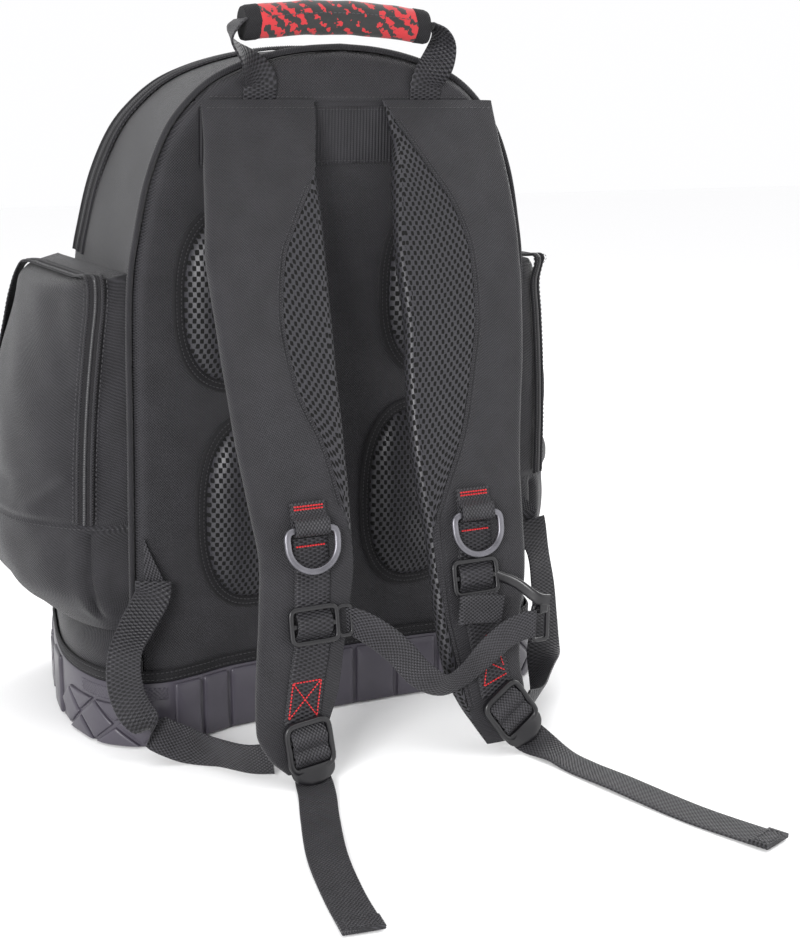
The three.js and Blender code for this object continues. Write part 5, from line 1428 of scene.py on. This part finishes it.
for which, way in sides.items():
    pivot = strap_frame(which, pivot_places[which], pivot_lift)
    r = ring_half_width
    turns = np.linspace(0, math.pi, 25)
    outline_points = [(-r + ring_corner, 0), (0, 0), (r - ring_corner, 0), (r - 1.2, -1.2), (r, -ring_corner)]
    outline_points += [(r * math.cos(t), -ring_straight - r * math.sin(t)) for t in turns]
    outline_points += [(-r, -ring_corner), (-r + 1.2, -1.2)]
    loop = spline([(x, y, 0) for x, y in outline_points], 1.6, closed=True)[:-1]
    parts = [rounded_bar(placed(loop, pivot), pivot[1][2], 2 * ring_wire, ring_thickness)]
    ring = build(f"d_ring_{which}_cast", parts, [plated_zinc])
    fix(ring, "ring_metal", f"d_ring_{which}", body=f"ring_{which}")

    wrap = ring_wire + 0.6 + web_thickness / 2
    base = -pivot_lift + web_gap + web_thickness / 2
    upper = base + web_thickness
    route = [(0, loop_top, upper + 0.1), (0, 10, upper + 0.4), (0, 5.5, wrap - 0.6)]
    route += [(0, wrap * math.sin(t), wrap * math.cos(t)) for t in np.linspace(0.5, -3.4, 12)]
    route += [(0, 8, base + 0.1), (0, loop_top, base)]
    path = spline(placed(route, pivot), 1.5)
    parts = [ribbon(path, np.tile((1.0, 0, 0), (len(path), 1)), web_width, web_thickness, finish=(0, 0))]
    for along in (loop_top - 2.5, loop_top - 4.5):
        tack = [(x, along, base + 1.7 * web_thickness) for x in np.linspace(-tack_width, tack_width, 20)]
        parts.append(stitches(placed(tack, pivot), pivot[1][2], *tack_stitch, finish=3))
    ring_loop = build(f"ring_loop_{which}_webbing", parts, [*webbing_finish, red_thread])
    fix(ring_loop, "webbing", f"ring_loop_{which}")

    low_z = pivot[0][2] - 11.5
    tack_x = web_middle(which, low_z) + np.linspace(-tack_width, tack_width, 20)
    tack = on_strap(which, low_z, tack_x, web_gap + web_thickness + 0.1)
    parts = [stitches(tack, strap_normal(which, low_z), *tack_stitch)]
    low_tack = build(f"bar_tack_{which}", parts, [red_thread])
    fix(low_tack, "webbing")

# Slides
# Three-bar slides of moulded acetal that hold the chest strap to each webbing; the left one has a ring at its
# inner side for the strap's end.
side_loop_reach = 10.0


def oblong(x0, y0, x1, y1, radius, z=0.0, spacing=1.6):
    """Rounded rectangle as a closed path"""
    return [(x, y, z) for x, y in rounded([(x0, y0), (x1, y0), (x1, y1), (x0, y1)], radius, spacing)]


# Acetal, injection moulded: hard black plastic with a satin skin and bright edges
acetal = cast("moulded_acetal", "#08080a", "#1c1b1e", gloss=(0.24, 0.4), cloud_scale=70.0,
              grain_scale=1100.0, detail=2.0, strength=0.1, depth=0.0001, ior=1.48)

for which, way in sides.items():
    seat = strap_frame(which, slide_places[which], slide_lift + slide_thickness / 2)
    out = seat[1][2]
    w, h = slide_half_width - slide_bar / 2, slide_half_height - slide_bar / 2
    parts = [rounded_bar(placed(oblong(-w, -h, w, h, 4.5), seat), out, slide_bar, slide_thickness + 0.6)]
    bar = placed([(x, 0, 0) for x in np.linspace(-w, w, 12)], seat)
    parts.append(rounded_bar(bar, out, slide_bar, slide_thickness, closed=False))
    if which == "left":
        far = slide_half_width + side_loop_reach - 1.3
        ring_path = oblong(slide_half_width - 1.2, 1.5 - h, far, h - 1.5, 3.5)
        parts.append(rounded_bar(placed(ring_path, seat), out, 2.6, 2.4))
    slide = build(f"slide_{which}_moulded", parts, [acetal])
    fix(slide, "buckle_acetal", f"slide_{which}")

# Ladder locks and loose ends
# Moulded acetal buckles at the foot of each strap. The webbing climbs over their bars and its loose end
# runs out under the lifting tongue, down to the floor, where it lies with a folded, stitched hem.
lock_half_width = 17.0
lock_half_height = 20.0
lock_thickness = 5.0
lock_bar = 4.0
climb = [                  # the webbing's way over a lock's bars: up the strap, and off it
    (15.5, 0.6), (12, 3.2), (7, 5.6), (2.5, 4.2), (0.5, 2.8), (-2, 4.2), (-6, 5.4), (-9.5, 3.0), (-12, 0.6),
    (-16, -0.7), (-23, -1.0),
]
tail_routes = {
    "left": [
        (-77, -243, 3.0, 0.96, -0.28, 0), (-88, -272, 1.6, 0.94, -0.34, 0),
        (-107, -326, 2.8, 0.96, -0.28, 0.03), (-117, -370, 1.5, 0.98, -0.10, 0),
        (-125, -414, 2.4, 0.97, -0.22, 0.02),
    ],
    "right": [
        (98, -258, 3.0, 0.92, 0.38, 0), (102, -279, 1.6, 0.95, 0.30, 0), (109, -311, 2.4, 0.95, 0.30, 0),
        (125, -374, 1.6, 0.93, 0.36, 0.02), (145, -431, 2.6, 0.97, 0.22, 0),
    ],
}


def tongue_skin():
    """Curved thumb plate at the lock's lower end, in the lock's own frame"""
    rows = []
    for share in np.linspace(0, 1, 12):
        y = -11.5 - 13.0 * share
        narrowed = (lock_half_width - 1.2) * (1 - 0.42 * share ** 3)
        half = narrowed * math.sqrt(max(0, 1 - share ** 6) * 0.94 + 0.06)
        mid = 3.6 + 3.4 * share ** 1.5
        edge = 1.6 * math.sqrt(max(0, 1 - share ** 8) * 0.9 + 0.1)
        section = []
        for t in np.linspace(0, 2 * math.pi, 23)[:-1]:
            c, s = math.cos(t), math.sin(t)
            a = math.copysign(abs(c) ** 0.45, c)
            section.append((a * half, y, mid - 1.8 * a * a + edge * math.copysign(abs(s) ** 0.8, s)))
        rows.append(section)
    return np.array(rows)


def hem(end, heading, across, finish):
    """Folded end of the webbing, with its stitches"""
    path = spline(np.array([end - heading * 13, end - heading * 6, end]) + (0, 0, web_thickness * 0.75), 2.0)
    parts = [ribbon(path, np.tile(across, (len(path), 1)), web_width + 0.4, 2.4, finish=(0, 1))]
    square = [(-9, -11), (9, -11), (9, -2), (-9, -2), (-9, -11)]
    for (x0, y0), (x1, y1) in zip(square, square[1:]):
        line = np.array([end + heading * (y0 + (y1 - y0) * t) + across * (x0 + (x1 - x0) * t)
                         for t in np.linspace(0, 1, 12)])
        parts.append(stitches(line + (0, 0, web_thickness * 0.75 + 1.25), (0, 0, 1), finish=finish))
    return parts


for which, way in sides.items():
    seat = strap_frame(which, lock_places[which], lock_lift, lock_roll[which])
    out = seat[1][2]
    middle = lock_thickness / 2
    w, h = lock_half_width - lock_bar / 2, lock_half_height - lock_bar / 2
    frame_path = oblong(-w, -h + 4, w, h, 6.5, middle)
    parts = [rounded_bar(placed(frame_path, seat), out, lock_bar, lock_thickness)]
    for y, size in ((7, 3.4), (-6, 3.4)):
        bar = placed([(x, y, middle) for x in np.linspace(-w, w, 12)], seat)
        parts.append(rounded_bar(bar, out, size, 3.6, closed=False))
    parts.append(grid(placed(tongue_skin(), seat), around=True, caps=(True, True)))
    lock = build(f"ladder_lock_{which}_moulded", parts, [acetal])
    fix(lock, "buckle_acetal", f"ladder_lock_{which}")

    local = placed([(0, up, lift) for up, lift in climb], seat)
    across = np.tile(seat[1][0], (len(climb), 1))
    route = np.concatenate([np.concatenate([local, across], axis=1), np.array(tail_routes[which], float)])
    route = spline(route, 2.5)
    parts = [ribbon(route[:, :3], route[:, 3:], web_width, web_thickness, finish=(0, 0))]
    end, heading = route[-1, :3], unit(route[-1, :3] - route[-4, :3])
    parts += hem(end, heading, unit(route[-1, 3:] - heading * (route[-1, 3:] @ heading)), 2)
    tail = build(f"tail_{which}_webbing", parts, webbing_finish)
    fix(tail, "webbing", f"tail_{which}")

# Wings and lower webbing
# A triangular tab is sewn into the panel's side seam near each lower corner, and from it 25 mm webbing
# runs forward to the back of the ladder lock.
wings = {
    "left": {"top": 148, "tip": 108, "foot": 92, "root": 146, "out": -17, "forward": 7},
    "right": {"top": 158, "tip": 134, "foot": 108, "root": 145, "out": 22, "forward": 7},
}
wing_thickness = 2.0
lower_routes = {
    "left": [
        (-138.5, -106.1, 119, 0.92, -0.38, 0.0), (-139.5, -106.4, 109, 0.92, -0.38, 0.0),
        (-152, -113, 93, 0.88, -0.46, -0.10), (-166, -124, 76, 0.75, -0.65, 0.05),
        (-168, -129, 54, 0.85, -0.50, -0.15), (-163, -134, 37, 0.85, -0.40, -0.35),
        (-150, -140, 22, 0.60, -0.40, -0.70), (-134, -149, 14, 0.25, -0.55, -0.80),
        (-118, -170, 13, 0.20, 0.20, -0.95), (-103, -191, 13, 0.25, 0.20, -0.92),
        (-90, -199, 14, 0.30, 0.10, -0.92),
    ],
    "right": [
        (162, -108.5, 128, -0.95, 0.30, 0.0), (167, -114, 104, -0.95, -0.30, 0.05),
        (167, -122, 80, -0.95, -0.30, -0.05), (162, -134, 56, -0.90, -0.35, -0.25),
        (150, -152, 34, -0.80, -0.20, -0.50), (133, -176, 22, -0.60, 0.10, -0.80),
        (114, -199, 20, -0.45, 0.20, -0.85), (96, -213, 24, -0.40, 0.10, -0.90),
    ],
}
for which, way in sides.items():
    shape = wings[which]
    y = panel_face - 0.3
    rows = []
    for share in np.linspace(0, 1, 12):
        z = shape["top"] + (shape["foot"] - shape["top"]) * share
        tip_share = (shape["top"] - shape["tip"]) / (shape["top"] - shape["foot"])
        reach = share / tip_share if share < tip_share else (1 - share) / (1 - tip_share)
        reach = max(reach, 0.04)
        line = []
        for t in np.linspace(0, reach, 8):
            x = way * (shape["root"] + shape["out"] * t)
            line.append((x, y - shape["forward"] * t - wing_thickness, z))
        line += [(x, front + wing_thickness, height) for x, front, height in line[::-1]]
        rows.append(line)
    wing = build(f"wing_{which}_cloth", [grid(leaned(rows), around=True, caps=(True, True))], [float_webbing])
    fix(wing, "webbing", f"wing_{which}")

    route = spline(lower_routes[which], 2.5)
    faces = (1, 0) if way < 0 else (0, 1)
    parts = [ribbon(route[:, :3], route[:, 3:], web_width, web_thickness, finish=faces)]
    webbing = build(f"lower_webbing_{which}_woven", parts, webbing_finish)
    fix(webbing, "webbing", f"lower_webbing_{which}")

# Chest strap
# A 20 mm webbing from the left slide's side ring to a rectangular ring, held by a moulded hook on the right
# slide, whose own webbing is folded back in a short loop.
chest_route = [
    (-22, -220, 97, 0.25, 0.0, 0.97), (-10, -226, 86, 0.45, 0.0, 0.89), (6, -230, 67, 0.50, -0.25, 0.80),
    (22, -232, 58, -0.10, -0.45, 0.90), (38, -233, 64, -0.35, -0.30, 0.88),
    (56, -233, 78, -0.45, 0.0, 0.89), (72, -233, 88, -0.30, 0.0, 0.95),
]
chest_width = 20.0
chest_ring = (96, -233, 92)
chest_ring_half_width = 7.0
chest_ring_half_height = 14.0
chest_ring_bar = 3.0
slide_middle = 3.4         # how far the middle of a slide stands off its strap
hook_stem = (8.0, 3.0)     # width and thickness
hook_claw = (6.4, 2.0)

up, across = slide_places["left"]
left_slide = on_strap("left", up * strap_top, -across * strap_width, slide_middle)
start_x = left_slide[0] + slide_half_width + side_loop_reach - 2.0
end_x = chest_ring[0] - chest_ring_half_width + 2.0
route = [
    (start_x - 1.5, left_slide[1] + 2.5, left_slide[2] - 2, 0, 0, 1),
    (start_x + 2.5, left_slide[1] - 2.2, left_slide[2] - 2, 0, 0, 1),
    *chest_route,
    (end_x - 5, chest_ring[1] - 1.5, chest_ring[2], 0, 0, 1),
    (end_x, chest_ring[1] - 2.4, chest_ring[2], 0, 0, 1),
]
route = spline(route, 2.5)
parts = [ribbon(route[:, :3], route[:, 3:], chest_width, web_thickness, finish=(0, 0))]
chest_strap = build("chest_strap_webbing", parts, webbing_finish)
fix(chest_strap, "webbing", "chest_strap")

w, h = chest_ring_half_width - chest_ring_bar / 2, chest_ring_half_height - chest_ring_bar / 2
ring_path = [(chest_ring[0] + x, chest_ring[1], chest_ring[2] + y) for x, y, z in oblong(-w, -h, w, h, 2.5)]
parts = [rounded_bar(ring_path, (0, -1, 0), chest_ring_bar, chest_ring_bar)]
chest_loop = build("chest_ring_moulded", parts, [acetal])
fix(chest_loop, "buckle_acetal", "chest_loop")

up, across = slide_places["right"]
right_slide = on_strap("right", up * strap_top, across * strap_width, slide_middle)
stem_x = right_slide[0] + slide_half_width
bar_z = chest_ring[2] + chest_ring_half_height - chest_ring_bar / 2
stem = spline([
    (stem_x - 1, right_slide[1], right_slide[2] - 1, 0, 0, 1),
    (stem_x + 8, (right_slide[1] + chest_ring[1]) / 2 - 2, right_slide[2] - 5, 0, 0, 1),
    (chest_ring[0] - 4, chest_ring[1] - 4.5, bar_z + 6, 0.2, 0, 1),
    (chest_ring[0] + 4, chest_ring[1] - 4.6, bar_z + 4, 0.4, 0, 1),
], 1.5)
claw = spline([(chest_ring[0], chest_ring[1] + y, bar_z + z, 1, 0, 0) for y, z in
               ((-4.6, 6), (-4.6, -1), (-4.1, -3.6), (-1.5, -5), (1.5, -5), (3.2, -3.6), (3.6, -1.5))], 1.2)
parts = [ribbon(stem[:, :3], stem[:, 3:], *hook_stem), ribbon(claw[:, :3], claw[:, 3:], *hook_claw)]
chest_hook = build("chest_hook_moulded", parts, [acetal])
fix(chest_hook, "buckle_acetal", "chest_hook")


def fold_place(dx, lift, drop):
    """Place on the right strap below its slide"""
    z = right_slide[2] - slide_half_height - 8 - drop
    place = on_strap("right", z, slide_places["right"][1] * strap_width + dx, lift)
    return (*place, 0.12, 0, 1)


fold_rows = [
    (14, 4.8, 0), (2, 4.8, 0), (-10, 5.2, 0), (-16, 6.8, 0), (-16.5, 8.2, 0), (-10, 9.4, 0), (2, 9.8, 1),
    (15, 9.8, 3),
]
fold_route = spline([fold_place(*row) for row in fold_rows], 1.5)
parts = [ribbon(fold_route[:, :3], fold_route[:, 3:], chest_width, web_thickness, finish=(0, 0))]
chest_fold = build("chest_fold_webbing", parts, webbing_finish)
fix(chest_fold, "webbing", "chest_fold")
